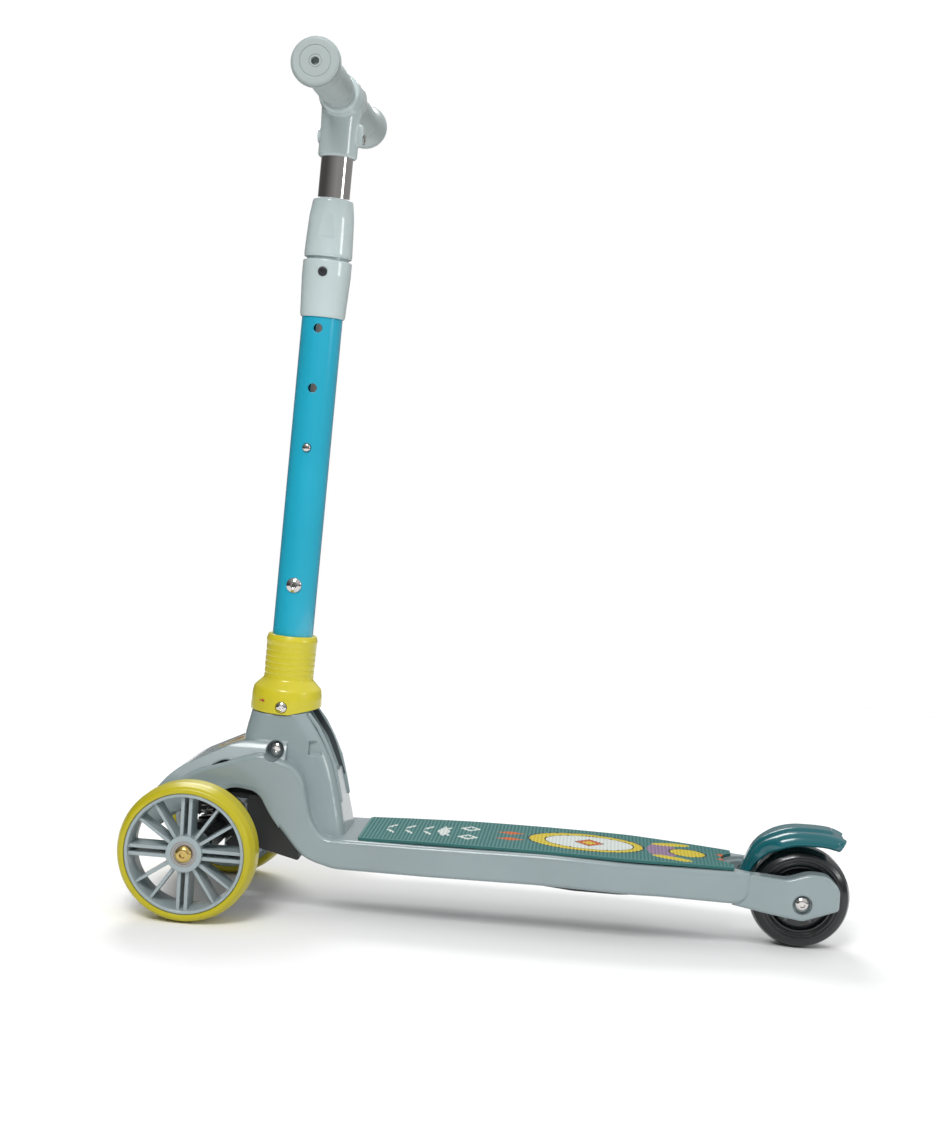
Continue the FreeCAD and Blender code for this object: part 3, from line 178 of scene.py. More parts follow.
# %% One function for the scooter's plain finishes
def finish(name, color, rough, grain=900.0, depth=0.02, cloud=0.05, metal=0.0, coat=0.0, edge=0.0006):
    """grain is the fineness of the bump and depth its strength, cloud the colour change, edge the rounding."""
    mat = bpy.data.materials.new(name)
    mat.use_nodes = True
    nodes, links = mat.node_tree.nodes, mat.node_tree.links
    shader = nodes["Principled BSDF"]
    shader.inputs["Metallic"].default_value = metal
    shader.inputs["Coat Weight"].default_value = coat
    shader.inputs["Coat Roughness"].default_value = 0.06
    where = nodes.new("ShaderNodeTexCoord")
    broad = nodes.new("ShaderNodeTexNoise")
    broad.inputs["Scale"].default_value = 14.0
    broad.inputs["Detail"].default_value = 4.0
    ramp = nodes.new("ShaderNodeValToRGB")
    ramp.color_ramp.elements[0].position = 0.3
    ramp.color_ramp.elements[1].position = 0.7
    ramp.color_ramp.elements[0].color = (*[c * (1 - cloud) for c in color], 1)
    ramp.color_ramp.elements[1].color = (*[min(1.0, c * (1 + cloud)) for c in color], 1)
    gloss = nodes.new("ShaderNodeMapRange")
    gloss.inputs["To Min"].default_value = max(0.02, rough - 0.06)
    gloss.inputs["To Max"].default_value = rough + 0.06
    fine = nodes.new("ShaderNodeTexNoise")
    fine.inputs["Scale"].default_value = grain
    fine.inputs["Detail"].default_value = 3.0
    bump = nodes.new("ShaderNodeBump")
    bump.inputs["Strength"].default_value = depth
    bump.inputs["Distance"].default_value = 0.0005
    rounding = nodes.new("ShaderNodeBevel")
    rounding.samples = 6
    rounding.inputs["Radius"].default_value = edge
    links.new(where.outputs["Object"], broad.inputs["Vector"])
    links.new(where.outputs["Object"], fine.inputs["Vector"])
    links.new(broad.outputs["Fac"], ramp.inputs["Fac"])
    links.new(broad.outputs["Fac"], gloss.inputs["Value"])
    links.new(ramp.outputs["Color"], shader.inputs["Base Color"])
    links.new(gloss.outputs["Result"], shader.inputs["Roughness"])
    links.new(fine.outputs["Fac"], bump.inputs["Height"])
    links.new(rounding.outputs["Normal"], bump.inputs["Normal"])
    links.new(bump.outputs["Normal"], shader.inputs["Normal"])
    return mat


# %% The plain finishes
FINISHES = {
    "body_grey": finish("body_grey", (0.255, 0.315, 0.328), 0.24, coat=0.4, edge=0.0022),
    "trim_grey": finish("trim_grey", (0.51, 0.60, 0.60), 0.2, coat=0.5, edge=0.001),
    "grip_grey": finish("grip_grey", (0.35, 0.405, 0.40), 0.36, grain=1600, depth=0.05),
    "wheel_grey": finish("wheel_grey", (0.31, 0.37, 0.385), 0.34, coat=0.15, edge=0.0008),
    "tyre_yellow": finish("tyre_yellow", (0.46, 0.40, 0.003), 0.34, grain=500, depth=0.03),
    "tyre_black": finish("tyre_black", (0.007, 0.009, 0.010), 0.2, grain=500, coat=0.2),
    "black_gloss": finish("black_gloss", (0.010, 0.012, 0.013), 0.2, coat=0.4),
    "black_plastic": finish("black_plastic", (0.014, 0.015, 0.017), 0.45, grain=1500, depth=0.2),
    "dark_grey": finish("dark_grey", (0.05, 0.06, 0.065), 0.4, grain=1200, depth=0.12),
    "fender_teal": finish("fender_teal", (0.003, 0.105, 0.125), 0.2, coat=0.3),
    "tube_blue": finish("tube_blue", (0.014, 0.37, 0.53), 0.16, grain=350, depth=0.06, cloud=0.03, coat=0.8),
    "collar_yellow": finish("collar_yellow", (0.58, 0.51, 0.02), 0.3, coat=0.25),
    "chrome_part": finish("chrome_part", (0.62, 0.60, 0.585), 0.07, cloud=0.02, metal=1.0, edge=0.0003),
    "steel": finish("steel", (0.33, 0.32, 0.31), 0.26, grain=700, depth=0.08, metal=1.0, edge=0.0003),
    "dark_steel": finish("dark_steel", (0.05, 0.05, 0.055), 0.4, grain=900, depth=0.08, metal=0.7, edge=0.0003),
    "gold_zinc": finish("gold_zinc", (0.55, 0.40, 0.14), 0.24, cloud=0.12, metal=1.0, edge=0.0003),
}
print(len(FINISHES), "plain finishes")

# %% [markdown]
# ## The printed mat
# The mat is a thin rubber sheet in teal, printed with bright shapes: an oval badge, a sun, diamonds and leaf
# strokes. Each printed shape is a mask in the mat's own plan coordinates, an ellipse or a diamond, painted
# over what lies under it. A mask stays sharp at any distance, which a small picture would not.

# %% Helpers for printed finishes
def plan_mask(tree, where, at, half, turn=0.0, diamond=False, lift=0.0):
    """One inside an ellipse or a diamond of the plan, nought outside."""
    move = tree.nodes.new("ShaderNodeMapping")
    move.vector_type = "TEXTURE"
    move.inputs["Location"].default_value = (at[0], at[1], lift)
    move.inputs["Rotation"].default_value = (0, 0, turn)
    move.inputs["Scale"].default_value = (half[0], half[1], 1e4)
    tree.links.new(where.outputs["Object"], move.inputs["Vector"])
    size = tree.nodes.new("ShaderNodeVectorMath")
    if diamond:
        size.operation = "DOT_PRODUCT"
        size.inputs[1].default_value = (1, 1, 0)
        positive = tree.nodes.new("ShaderNodeVectorMath")
        positive.operation = "ABSOLUTE"
        tree.links.new(move.outputs["Vector"], positive.inputs[0])
        tree.links.new(positive.outputs["Vector"], size.inputs[0])
    else:
        size.operation = "LENGTH"
        tree.links.new(move.outputs["Vector"], size.inputs[0])
    inside = tree.nodes.new("ShaderNodeMath")
    inside.operation = "LESS_THAN"
    inside.inputs[1].default_value = 1.0
    tree.links.new(size.outputs["Value"], inside.inputs[0])
    return inside.outputs[0]


def paint(tree, under, mask, ink):
    """The ink where the mask is one, else what is under it."""
    layer = tree.nodes.new("ShaderNodeMix")
    layer.data_type = "RGBA"
    tree.links.new(mask, layer.inputs["Factor"])
    tree.links.new(under, layer.inputs["A"])
    layer.inputs["B"].default_value = (*ink, 1)
    return layer.outputs["Result"]


# %% Shapes of the mat's print
INK = {
    "black": (0.015, 0.016, 0.018), "white": (0.52, 0.56, 0.54), "yellow": (0.50, 0.40, 0.025),
    "orange": (0.45, 0.10, 0.02), "lilac": (0.22, 0.15, 0.24), "teal": (0.037, 0.147, 0.139),
}
MAT_PRINT = [
    ("black", (-0.082, 0.0), (0.052, 0.034), 0.0, False), ("yellow", (-0.082, 0.0), (0.0505, 0.0325), 0.0, False),
    ("black", (-0.085, 0.0), (0.040, 0.0255), 0.0, False), ("white", (-0.085, 0.0), (0.0388, 0.0243), 0.0, False),
    ("black", (-0.085, 0.0), (0.0140, 0.0140), 0.0, True), ("orange", (-0.085, 0.0), (0.0125, 0.0125), 0.0, True),
    ("yellow", (-0.085, 0.0), (0.0065, 0.0065), 0.0, True),
    ("lilac", (-0.150, 0.0), (0.014, 0.026), 0.0, False), ("black", (-0.172, 0.0), (0.017, 0.015), 0.0, False),
    ("yellow", (-0.172, 0.0), (0.0155, 0.0135), 0.0, False), ("white", (0.045, 0.0), (0.006, 0.020), 0.0, True),
]
for side in (-1, 1):
    MAT_PRINT += [
        ("orange", (-0.015, side * 0.012), (0.013, 0.006), 0.0, True),
        ("yellow", (-0.158, side * 0.026), (0.018, 0.006), side * -0.25, False),
        ("white", (0.022, side * 0.017), (0.010, 0.010), 0.0, True),
        ("teal", (0.022, side * 0.017), (0.005, 0.005), 0.0, True),
        ("orange", (-0.203, side * 0.008), (0.006, 0.005), 0.0, True),
    ]
    for row in range(4):
        MAT_PRINT.append(("white", (0.092 - 0.0165 * row, side * 0.010), (0.0018, 0.008), 0.5 * side, False))
print(len(MAT_PRINT), "printed shapes")

# %% Mat finish
def mat_finish():
    mat = bpy.data.materials.new("mat_teal")
    mat.use_nodes = True
    tree = mat.node_tree
    shader = tree.nodes["Principled BSDF"]
    shader.inputs["Roughness"].default_value = 0.62
    shader.inputs["Specular IOR Level"].default_value = 0.25
    where = tree.nodes.new("ShaderNodeTexCoord")
    cloud = tree.nodes.new("ShaderNodeTexNoise")
    cloud.inputs["Scale"].default_value = 30.0
    base = tree.nodes.new("ShaderNodeValToRGB")
    base.color_ramp.elements[0].color = (0.034, 0.138, 0.130, 1)
    base.color_ramp.elements[1].color = (0.040, 0.156, 0.148, 1)
    tree.links.new(where.outputs["Object"], cloud.inputs["Vector"])
    tree.links.new(cloud.outputs["Fac"], base.inputs["Fac"])
    color = base.outputs["Color"]
    for ink, at, half, turn, diamond in MAT_PRINT:
        color = paint(tree, color, plan_mask(tree, where, at, half, turn, diamond), INK[ink])
    tree.links.new(color, shader.inputs["Base Color"])
    fine = tree.nodes.new("ShaderNodeTexNoise")
    fine.inputs["Scale"].default_value = 1500.0
    bump = tree.nodes.new("ShaderNodeBump")
    bump.inputs["Strength"].default_value = 0.15
    bump.inputs["Distance"].default_value = 0.0004
    tree.links.new(where.outputs["Object"], fine.inputs["Vector"])
    tree.links.new(fine.outputs["Fac"], bump.inputs["Height"])
    tree.links.new(bump.outputs["Normal"], shader.inputs["Normal"])
    return mat


FINISHES["mat_teal"] = mat_finish()

# %% [markdown]
# ## Dressing the frame
# Each node of the record names a material slot. The finish of that name replaces its plain colour.

# %% Dress the frame's nodes
for row in frame["record"]["subparts"]:
    mesh = frame["nodes"][row["node"]].data
    mesh.materials.clear()
    mesh.materials.append(FINISHES[row["material_slot"]])
print(len(frame["nodes"]), "nodes dressed")

# %% [markdown]
# ## Mat
# The mat follows the deck's long curve and ends at the round mouth that the wheel and the fender's foot come
# through. Its outline is drawn in plan, cut into narrow strips so it can bend, lifted to the curve that a ray
# finds on the frame's mat, and given its thickness. The sides are read off the frame's mat the same way.

# %% Helpers for pieces grown from a working object
def grown(obj, name):
    """Plain mesh of an object with its modifiers applied; the working object goes."""
    graph = bpy.context.evaluated_depsgraph_get()
    mesh = bpy.data.meshes.new_from_object(obj.evaluated_get(graph))
    mesh.name = name
    bpy.data.objects.remove(obj)
    return new_object(name, mesh)


def smooth_shade(mesh, sharp=35.0):
    """Smooth shading that keeps edges sharper than the given angle."""
    mesh.shade_smooth()
    mesh.set_sharp_from_angle(angle=math.radians(sharp))


def fresh_copy(node, name):
    """Copy of a node's mesh with its seams joined and its stored normals left behind."""
    source = frame["nodes"][node].data
    mesh = bpy.data.meshes.new(name)
    mesh.from_pydata([v.co.copy() for v in source.vertices], [], [tuple(p.vertices) for p in source.polygons])
    bm = bmesh.new()
    bm.from_mesh(mesh)
    bmesh.ops.remove_doubles(bm, verts=bm.verts, dist=0.000002)
    bm.to_mesh(mesh)
    bm.free()
    return new_object(name, mesh)


# %% Outline of the mat in plan
MAT_THICK = 0.0024
MOUTH_AT, MOUTH_RADIUS = -0.2305, 0.0288
MAT_FRONT, MAT_REAR = 0.1165, -0.2115
cad_mat = BVHTree.FromPolygons([v.co.copy() for v in frame["nodes"]["grip_mat"].data.vertices],
                               [tuple(p.vertices) for p in frame["nodes"]["grip_mat"].data.polygons])


def mat_top(x):
    """Height of the mat's top on a line a third of the way to its side."""
    x = min(MAT_FRONT - 0.0005, max(MAT_REAR + 0.0005, x))
    return cad_mat.ray_cast(Vector((x, 0.028, 0.2)), Vector((0, 0, -1)))[0].z


def mat_side(x):
    """Half width of the mat."""
    return cad_mat.ray_cast(Vector((x, 0.2, mat_top(x) - MAT_THICK / 2)), Vector((0, -1, 0)))[0].y


half_outline = [(MAT_FRONT, 0.0)]
corner = mat_side(MAT_FRONT - 0.004) - 0.004
half_outline += [(MAT_FRONT - 0.004 + 0.004 * math.cos(t * math.pi / 12), corner + 0.004 * math.sin(t * math.pi / 12))
                 for t in range(7)]
half_outline += [(0.105 - 0.005 * k, mat_side(0.105 - 0.005 * k)) for k in range(63)]
tail = mat_side(MAT_REAR + 0.002)
half_outline += [(MAT_REAR + 0.0006, tail - 0.0004), (MAT_REAR, tail - 0.002)]
start = math.acos((MAT_REAR - MOUTH_AT) / MOUTH_RADIUS)
mouth_arc = [start * (1 - k / 14) for k in range(15)]
half_outline += [(MOUTH_AT + MOUTH_RADIUS * math.cos(t), MOUTH_RADIUS * math.sin(t)) for t in mouth_arc]
outline = half_outline + [(x, -y) for x, y in reversed(half_outline) if abs(y) > 1e-6]
print(len(outline), "outline points")

# %% Bend and thicken the mat
bm = bmesh.new()
bm.faces.new([bm.verts.new((x, y, 0)) for x, y in outline])
bmesh.ops.triangulate(bm, faces=bm.faces)
for k in range(1, 41):
    x = MAT_REAR + (MAT_FRONT - MAT_REAR) * k / 41
    bmesh.ops.bisect_plane(bm, geom=bm.verts[:] + bm.edges[:] + bm.faces[:], plane_co=(x, 0, 0), plane_no=(1, 0, 0))
for vert in bm.verts:
    vert.co.z = mat_top(vert.co.x)
under = bmesh.ops.extrude_face_region(bm, geom=bm.faces[:])
for vert in [g for g in under["geom"] if isinstance(g, bmesh.types.BMVert)]:
    vert.co.z -= MAT_THICK
bmesh.ops.recalc_face_normals(bm, faces=bm.faces)
mat_mesh = bpy.data.meshes.new("printed_mat")
bm.to_mesh(mat_mesh)
bm.free()
printed_mat = new_object("printed_mat", mat_mesh)
smooth_shade(printed_mat.data)
printed_mat.data.materials.clear()
printed_mat.data.materials.append(FINISHES["mat_teal"])
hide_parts("grip_mat")
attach(printed_mat, "deck")
print("mat faces", len(printed_mat.data.polygons))

# %% [markdown]
# ## Grip dots of the mat
# The mat is covered with small raised dots that stop a shoe from slipping. They could be a bump, but real
# dots catch the light at the mat's edge-on view. Geometry Nodes repeats one low dot over a grid, dropped on
# the mat by a ray, so the rows follow the mat's curve and stop at its outline.

# %% Geometry Nodes tree for the dots
def dot_tree():
    tree = bpy.data.node_groups.new("mat dots", "GeometryNodeTree")
    tree.interface.new_socket("Mat", in_out="INPUT", socket_type="NodeSocketGeometry")
    for name, value in (("Pitch", 0.0032), ("Radius", 0.00095), ("Height", 0.0005), ("Margin", 0.0022)):
        tree.interface.new_socket(name, in_out="INPUT", socket_type="NodeSocketFloat").default_value = value
    tree.interface.new_socket("Finish", in_out="INPUT", socket_type="NodeSocketMaterial")
    tree.interface.new_socket("Dots", in_out="OUTPUT", socket_type="NodeSocketGeometry")
    add, link = tree.nodes.new, tree.links.new
    given, out = add("NodeGroupInput"), add("NodeGroupOutput")

    def maths(operation, a, b):
        step = add("ShaderNodeMath")
        step.operation = operation
        for slot, value in zip(step.inputs, (a, b)):
            if isinstance(value, (int, float)):
                slot.default_value = value
            else:
                link(value, slot)
        return step.outputs[0]

    span = add("GeometryNodeBoundBox")
    low, high = add("ShaderNodeSeparateXYZ"), add("ShaderNodeSeparateXYZ")
    link(given.outputs["Mat"], span.inputs[0])
    link(span.outputs["Min"], low.inputs[0])
    link(span.outputs["Max"], high.inputs[0])
    length = maths("SUBTRACT", high.outputs["X"], low.outputs["X"])
    width = maths("SUBTRACT", high.outputs["Y"], low.outputs["Y"])
    grid = add("GeometryNodeMeshGrid")
    link(length, grid.inputs["Size X"])
    link(width, grid.inputs["Size Y"])
    link(maths("DIVIDE", length, given.outputs["Pitch"]), grid.inputs["Vertices X"])
    link(maths("DIVIDE", width, given.outputs["Pitch"]), grid.inputs["Vertices Y"])
    centre = add("ShaderNodeCombineXYZ")
    link(maths("MULTIPLY", maths("ADD", high.outputs["X"], low.outputs["X"]), 0.5), centre.inputs["X"])
    centre.inputs["Z"].default_value = 0.5
    raised = add("GeometryNodeTransform")
    link(grid.outputs["Mesh"], raised.inputs["Geometry"])
    link(centre.outputs[0], raised.inputs["Translation"])
    place = add("GeometryNodeInputPosition")

    def drop(dx, dy):
        """Ray straight down on the mat, from a point beside the grid's own."""
        ray = add("GeometryNodeRaycast")
        ray.inputs["Ray Direction"].default_value = (0, 0, -1)
        ray.inputs["Ray Length"].default_value = 1.0
        aside = add("ShaderNodeCombineXYZ")
        link(maths("MULTIPLY", given.outputs["Margin"], dx), aside.inputs["X"])
        link(maths("MULTIPLY", given.outputs["Margin"], dy), aside.inputs["Y"])
        start = add("ShaderNodeVectorMath")
        link(place.outputs[0], start.inputs[0])
        link(aside.outputs[0], start.inputs[1])
        link(start.outputs[0], ray.inputs["Source Position"])
        link(given.outputs["Mat"], ray.inputs["Target Geometry"])
        return ray

    middle = drop(0, 0)
    hit = middle.outputs["Is Hit"]
    for dx, dy in ((1, 0), (-1, 0), (0, 1), (0, -1)):
        both = add("FunctionNodeBooleanMath")
        link(hit, both.inputs[0])
        link(drop(dx, dy).outputs["Is Hit"], both.inputs[1])
        hit = both.outputs[0]
    away = add("FunctionNodeBooleanMath")
    away.operation = "NOT"
    link(hit, away.inputs[0])
    landed = add("GeometryNodeCaptureAttribute")
    landed.capture_items.new("VECTOR", "Landing")
    link(raised.outputs[0], landed.inputs["Geometry"])
    link(middle.outputs["Hit Position"], landed.inputs["Landing"])
    kept = add("GeometryNodeDeleteGeometry")
    link(landed.outputs["Geometry"], kept.inputs["Geometry"])
    link(away.outputs[0], kept.inputs["Selection"])
    down = add("GeometryNodeSetPosition")
    link(kept.outputs[0], down.inputs["Geometry"])
    link(landed.outputs["Landing"], down.inputs["Position"])
    dot = add("GeometryNodeMeshCone")
    dot.inputs["Vertices"].default_value = 7
    link(maths("MULTIPLY", given.outputs["Radius"], 0.55), dot.inputs["Radius Top"])
    link(given.outputs["Radius"], dot.inputs["Radius Bottom"])
    link(given.outputs["Height"], dot.inputs["Depth"])
    scatter = add("GeometryNodeInstanceOnPoints")
    link(down.outputs[0], scatter.inputs["Points"])
    link(dot.outputs["Mesh"], scatter.inputs["Instance"])
    real = add("GeometryNodeRealizeInstances")
    coat = add("GeometryNodeSetMaterial")
    link(scatter.outputs[0], real.inputs[0])
    link(real.outputs[0], coat.inputs["Geometry"])
    link(given.outputs["Finish"], coat.inputs["Material"])
    link(coat.outputs[0], out.inputs[0])
    return tree


# %% Dots as a plain mesh that rides on the deck
mat_copy = new_object("mat copy", printed_mat.data.copy())
modifier = mat_copy.modifiers.new("dots", "NODES")
modifier.node_group = dot_tree()
sockets = {s.name: s.identifier for s in modifier.node_group.interface.items_tree if s.in_out == "INPUT"}
modifier[sockets["Finish"]] = FINISHES["mat_teal"]
for name, value in (("Pitch", 0.0032), ("Radius", 0.00095), ("Height", 0.0005), ("Margin", 0.0022)):
    modifier[sockets[name]] = value
mat_dots = grown(mat_copy, "mat_dots")
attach(mat_dots, "deck")
print("dots", len(mat_dots.data.polygons) // 9)

# %% [markdown]
# ## Brake fender
# The fender is one glossy moulding over the rear wheel: a raised crown in the middle, a shallow groove each
# side of it and rounded wings, narrowing to a foot that turns on its pin. It could be carved from a block with
# modifiers. It is instead swept: one cross-section is drawn again at each step round the axle, with its
# width and crown changing on the way, because then the groove and the edge run smoothly from end to end.
# Towards the tail the section also moves out a little, so the tail lifts clear of the tyre.

# %% Section of the fender at an angle round the axle
REAR_AXLE = Vector((-0.2715, 0, 0.044))
FENDER_INSIDE = 0.0482


def smooth(low, high, value):
    """Nought below low, one above high, with a soft step between."""
    t = min(1.0, max(0.0, (value - low) / (high - low)))
    return t * t * (3 - 2 * t)


def fender_height(share, angle):
    """Thickness over the inside radius, at a share of the half width."""
    share = abs(share)
    crown = 0.0033 * (1 - smooth(0.30, 0.48, share)) * smooth(-26, -21, angle)
    wing = 0.0105 + 0.0014 * smooth(0.40, 0.62, share)
    edge = math.sqrt(max(0.0, 1 - ((share - 0.62) / 0.38) ** 2)) if share > 0.62 else 1.0
    front = 1 - 0.42 * smooth(34, 70, angle)
    return max(0.0012, (0.0026 + (wing + crown - 0.0026) * edge) * front)


def fender_section(angle):
    """Closed loop of (y, radius) points."""
    half = 0.0268 - 0.0092 * smooth(22, 46, angle) - 0.0045 * smooth(44, 62, angle)
    half -= 0.0035 * smooth(27, 33.5, -angle)
    outer = [(half * k / 20, FENDER_INSIDE + fender_height(k / 20, angle)) for k in range(-20, 21)]
    wall = 0.0032
    inner_half = half - wall
    inner = []
    for k in range(12, -13, -1):
        y = inner_half * k / 12
        roof = FENDER_INSIDE + fender_height(y / half, angle) - wall
        hollow = 1 - smooth(0.86, 1.0, abs(k / 12))
        inner.append((y, FENDER_INSIDE + max(0.0, roof - FENDER_INSIDE) * hollow * (1 - smooth(30, 44, angle))))
    return outer + inner


# %% Sweep the fender
def fender_mesh():
    mesh = bpy.data.meshes.new("fender")
    bm = bmesh.new()
    rings = []
    last, first, steps = 73.0, -33.5, 96
    for i in range(steps + 1):
        angle = first + (last - first) * i / steps
        turn = math.radians(angle)
        tail_lift = 0.0062 * smooth(0, 40, -angle)
        ring = []
        for y, radius in fender_section(angle):
            radius += tail_lift
            ring.append(bm.verts.new((REAR_AXLE.x + radius * math.sin(turn), y, REAR_AXLE.z + radius * math.cos(turn))))
        rings.append(ring)
    count = len(rings[0])
    for a, b in zip(rings, rings[1:]):
        for k in range(count):
            n = (k + 1) % count
            bm.faces.new((a[k], a[n], b[n], b[k]))
    bm.faces.new(rings[0])
    bm.faces.new(rings[-1])
    bmesh.ops.recalc_face_normals(bm, faces=bm.faces)
    bm.to_mesh(mesh)
    bm.free()
    return mesh


raw_fender = new_object("fender raw", fender_mesh())
ease = raw_fender.modifiers.new("edges", "BEVEL")
ease.width = 0.0011
ease.segments = 3
ease.limit_method = "ANGLE"
ease.angle_limit = math.radians(50)
fender = grown(raw_fender, "fender")
smooth_shade(fender.data)
fender.data.materials.append(FINISHES["fender_teal"])
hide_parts("brake_fender")
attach(fender, "brake")
print("fender faces", len(fender.data.polygons))

# %% [markdown]
# ## Handlebar joint
# The joint between mast and bar is a plastic moulding whose tubes flow into each other with soft hollows.
# Filleting such meetings edge by edge is fragile. Voxel remeshing gives an even skin over the whole joint, and
# a few rounds of smoothing then melt its inside corners, as a mould maker's soft radii do.

# %% Soft joint
def softened(node, voxel, rounds, name):
    """Evenly remeshed and smoothed copy of a node."""
    raw = new_object(name + " raw", frame["nodes"][node].data.copy())
    even = raw.modifiers.new("even", "REMESH")
    even.mode = "VOXEL"
    even.voxel_size = voxel
    melt = raw.modifiers.new("melt", "SMOOTH")
    melt.factor = 0.5
    melt.iterations = rounds
    soft = grown(raw, name)
    soft.data.materials.clear()
    soft.data.shade_smooth()
    return soft


tee = softened("t_joint", 0.0009, 8, "handlebar_joint")
tee.data.materials.append(FINISHES["trim_grey"])
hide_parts("t_joint")
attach(tee, "mast")
print("joint faces", len(tee.data.polygons))

# %% [markdown]
# ## Fold collar
# The collar's grip lines are fine grooves on an almost straight barrel. The frame's collar has them as deep
# waves, which read as a bellows. A copy of its mesh keeps the collar's form, and only the waves are made
# shallow: each outer point in their band moves most of the way out to the barrel.

# %% Shallow grip lines
PIVOT = Vector((0.1955, 0, 0.142))
RAKE = Matrix.Rotation(math.radians(-2.0), 4, "Y")
BARREL = 0.0221


def on_stem_axis(point):
    """A point as (across, sideways, up) from the fold pivot along the raked stem."""
    return RAKE.inverted() @ (point - PIVOT)


collar = fresh_copy("fold_collar", "soft_collar")
moved = 0
for vert in collar.data.vertices:
    local = on_stem_axis(vert.co)
    radius = math.hypot(local.x, local.y)
    if 0.0625 < local.z < 0.0885 and 0.0205 < radius < BARREL:
        scale = (BARREL - (BARREL - radius) * 0.32) / radius
        vert.co = PIVOT + RAKE @ Vector((local.x * scale, local.y * scale, local.z))
        moved += 1
smooth_shade(collar.data, 30.0)
collar.data.materials.clear()
collar.data.materials.append(FINISHES["collar_yellow"])
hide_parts("fold_collar")
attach(collar, "collar")
print("collar points moved", moved)

# %% [markdown]
# ## Neck edges
# Each side of the fold slot ends in a narrow grey lip, with the dark lining seen as a strip in front of it.
# A lip is a small bar that follows a line, so its section is carried along the neck's rear outline, and a
# bevel rounds it. The lining is a copy of the frame's, drawn in behind the lip where it stood past it.

# %% Lips of the fold slot
NECK_LINE = [(0.1690, 0.1755), (0.1595, 0.1640), (0.1515, 0.1500), (0.1435, 0.1330), (0.1382, 0.1140),
             (0.1345, 0.0985)]


def lip_mesh(side):
    bm = bmesh.new()
    rings = []
    for i, (x, z) in enumerate(NECK_LINE):
        before, after = NECK_LINE[max(0, i - 1)], NECK_LINE[min(len(NECK_LINE) - 1, i + 1)]
        run = Vector((after[0] - before[0], 0, after[1] - before[1])).normalized()
        inward = Vector((-run.z, 0, run.x))
        if inward.x < 0:
            inward = -inward
        corners = [(0.0, 0.0184), (0.0, 0.0224), (0.0034, 0.0224), (0.0034, 0.0184)]
        rings.append([bm.verts.new(Vector((x, side * y, z)) + inward * deep) for deep, y in corners])
    for a, b in zip(rings, rings[1:]):
        for k in range(4):
            bm.faces.new((a[k], a[(k + 1) % 4], b[(k + 1) % 4], b[k]))
    bm.faces.new(rings[0])
    bm.faces.new(rings[-1])
    bmesh.ops.recalc_face_normals(bm, faces=bm.faces)
    mesh = bpy.data.meshes.new("lip")
    bm.to_mesh(mesh)
    bm.free()
    return mesh


def neck_line_at(z):
    """Where the neck's rear outline lies at a height."""
    for (x0, z0), (x1, z1) in zip(NECK_LINE, NECK_LINE[1:]):
        if z1 <= z <= z0:
            return x1 + (x0 - x1) * (z - z1) / (z0 - z1)
    return NECK_LINE[0][0] if z > NECK_LINE[0][1] else NECK_LINE[-1][0]


lining = fresh_copy("slot_liner", "slot_lining")
for vert in lining.data.vertices:
    vert.co.x = max(vert.co.x, neck_line_at(vert.co.z) + 0.0009)
smooth_shade(lining.data)
lining.data.materials.append(FINISHES["dark_grey"])
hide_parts("slot_liner")
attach(lining, "deck")
print("lining faces", len(lining.data.polygons))

for side, name in ((1, "neck_lip_left"), (-1, "neck_lip_right")):
    raw_lip = new_object(name + " raw", lip_mesh(side))
    ease = raw_lip.modifiers.new("edges", "BEVEL")
    ease.width = 0.0009
    ease.segments = 3
    lip = grown(raw_lip, name)
    smooth_shade(lip.data, 50.0)
    lip.data.materials.append(FINISHES["body_grey"])
    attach(lip, "deck")
    print(name, "faces", len(lip.data.polygons))

# %% [markdown]
# ## Printed marks
# A small red arrow on the collar shows which way it works, and the hood has a round printed badge. Both are
# thin films that lie on a curved skin. The badge is made as a fine grid, laid on its surface by rays, with a
# second layer below it, so it is a closed piece as thin as a sticker. The arrow is its outline drawn twice
# round the collar's skirt, at two radii a little apart, and closed between them.

# %% Lay a film on a surface
def film(name, target, corners, ray, thick=0.00015, steps=28):
    """Closed thin patch: corners are three points of a flat patch, ray is the way it drops on the target."""
    tree = BVHTree.FromPolygons([v.co.copy() for v in target.data.vertices],
                                [tuple(p.vertices) for p in target.data.polygons])
    origin, along, across = corners
    ray = Vector(ray).normalized()
    tops = []
    for i in range(steps + 1):
        for j in range(steps + 1):
            start = origin + along * (i / steps) + across * (j / steps)
            place = tree.ray_cast(start, ray)[0]
            tops.append(place - ray * thick if place else None)
    bm = bmesh.new()
    upper = [bm.verts.new(p) if p else None for p in tops]
    lower = [bm.verts.new(p + ray * thick * 3) if p else None for p in tops]
    cells = []
    for i in range(steps):
        for j in range(steps):
            u, v = (i + 0.5) / steps * 2 - 1, (j + 0.5) / steps * 2 - 1
            a = i * (steps + 1) + j
            quad = [a, a + 1, a + steps + 2, a + steps + 1]
            if u * u + v * v < 1.0 and all(upper[k] for k in quad):
                cells.append(quad)
    edges = {}
    for quad in cells:
        bm.faces.new([upper[k] for k in quad])
        bm.faces.new([lower[k] for k in reversed(quad)])
        for k, n in zip(quad, quad[1:] + quad[:1]):
            edges[(k, n)] = True
    for k, n in edges:
        if (n, k) not in edges:
            bm.faces.new((upper[n], upper[k], lower[k], lower[n]))
    for vert in [v for v in bm.verts if not v.link_faces]:
        bm.verts.remove(vert)
    bmesh.ops.recalc_face_normals(bm, faces=bm.faces)
    mesh = bpy.data.meshes.new(name)
    bm.to_mesh(mesh)
    bm.free()
    smooth_shade(mesh)
    return new_object(name, mesh)


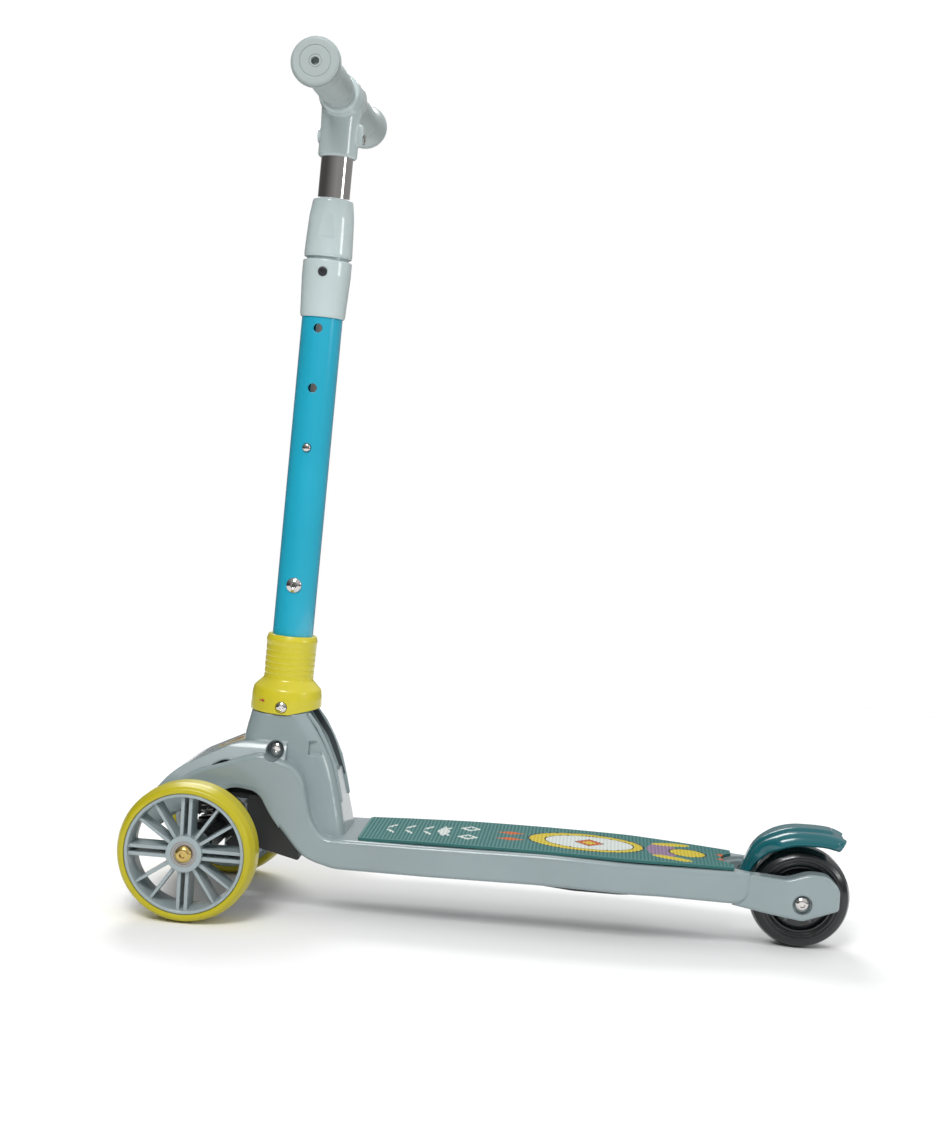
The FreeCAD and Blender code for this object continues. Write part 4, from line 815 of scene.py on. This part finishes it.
# %% Badge on the hood
def badge_finish():
    """Rings of printed ink under a clear film."""
    mat = bpy.data.materials.new("hood_badge")
    mat.use_nodes = True
    tree = mat.node_tree
    shader = tree.nodes["Principled BSDF"]
    shader.inputs["Roughness"].default_value = 0.25
    shader.inputs["Coat Weight"].default_value = 0.5
    where = tree.nodes.new("ShaderNodeTexCoord")
    cloud = tree.nodes.new("ShaderNodeTexNoise")
    cloud.inputs["Scale"].default_value = 60.0
    base = tree.nodes.new("ShaderNodeValToRGB")
    base.color_ramp.elements[0].color = (0.56, 0.45, 0.04, 1)
    base.color_ramp.elements[1].color = (0.62, 0.51, 0.05, 1)
    tree.links.new(where.outputs["Object"], cloud.inputs["Vector"])
    tree.links.new(cloud.outputs["Fac"], base.inputs["Fac"])
    color = base.outputs["Color"]
    rings = [((0.30, 0.03, 0.03), 0.0150), ((0.62, 0.62, 0.58), 0.0128), ((0.56, 0.45, 0.04), 0.0090)]
    for ink, size in rings:
        color = paint(tree, color, plan_mask(tree, where, (0.236, 0.0), (size, size)), ink)
    color = paint(tree, color, plan_mask(tree, where, (0.236, 0.0), (0.007, 0.007), 0.0, True), (0.30, 0.03, 0.03))
    tree.links.new(color, shader.inputs["Base Color"])
    return mat


badge = film("hood_badge", frame["nodes"]["deck_shell"],
             (Vector((0.2185, -0.0175, 0.2)), Vector((0.035, 0, 0)), Vector((0, 0.035, 0))), (0, 0, -1))
badge.data.materials.append(badge_finish())
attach(badge, "deck")
print("badge faces", len(badge.data.polygons))

# %% Arrow on the collar
ARROW = [(-3.0, -0.55), (0.4, -0.55), (0.4, -1.5), (3.0, 0.0), (0.4, 1.5), (0.4, 0.55), (-3.0, 0.55)]


def arrow_point(across, along, radius):
    """Point on the collar's skirt: across is millimetres round it, along is millimetres up the stem."""
    turn = math.radians(33) - across / 31.5
    upright_point = Vector((radius * math.sin(turn), radius * math.cos(turn), 0.0415 + along * 0.001))
    return PIVOT + RAKE @ upright_point


bm = bmesh.new()
outer_ring = [bm.verts.new(arrow_point(x, z, 0.03168)) for x, z in ARROW]
inner_ring = [bm.verts.new(arrow_point(x, z, 0.0311)) for x, z in ARROW]
bm.faces.new(outer_ring)
bm.faces.new(list(reversed(inner_ring)))
for k in range(len(ARROW)):
    n = (k + 1) % len(ARROW)
    bm.faces.new((outer_ring[k], inner_ring[k], inner_ring[n], outer_ring[n]))
bmesh.ops.recalc_face_normals(bm, faces=bm.faces)
arrow_mesh = bpy.data.meshes.new("collar_arrow")
bm.to_mesh(arrow_mesh)
bm.free()
arrow = new_object("collar_arrow", arrow_mesh)
arrow.data.materials.append(finish("arrow_red", (0.42, 0.03, 0.02), 0.35, edge=0.0001))
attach(arrow, "collar")
print("arrow at", tuple(round(v, 4) for v in arrow_point(0, 0, 0.0315)))
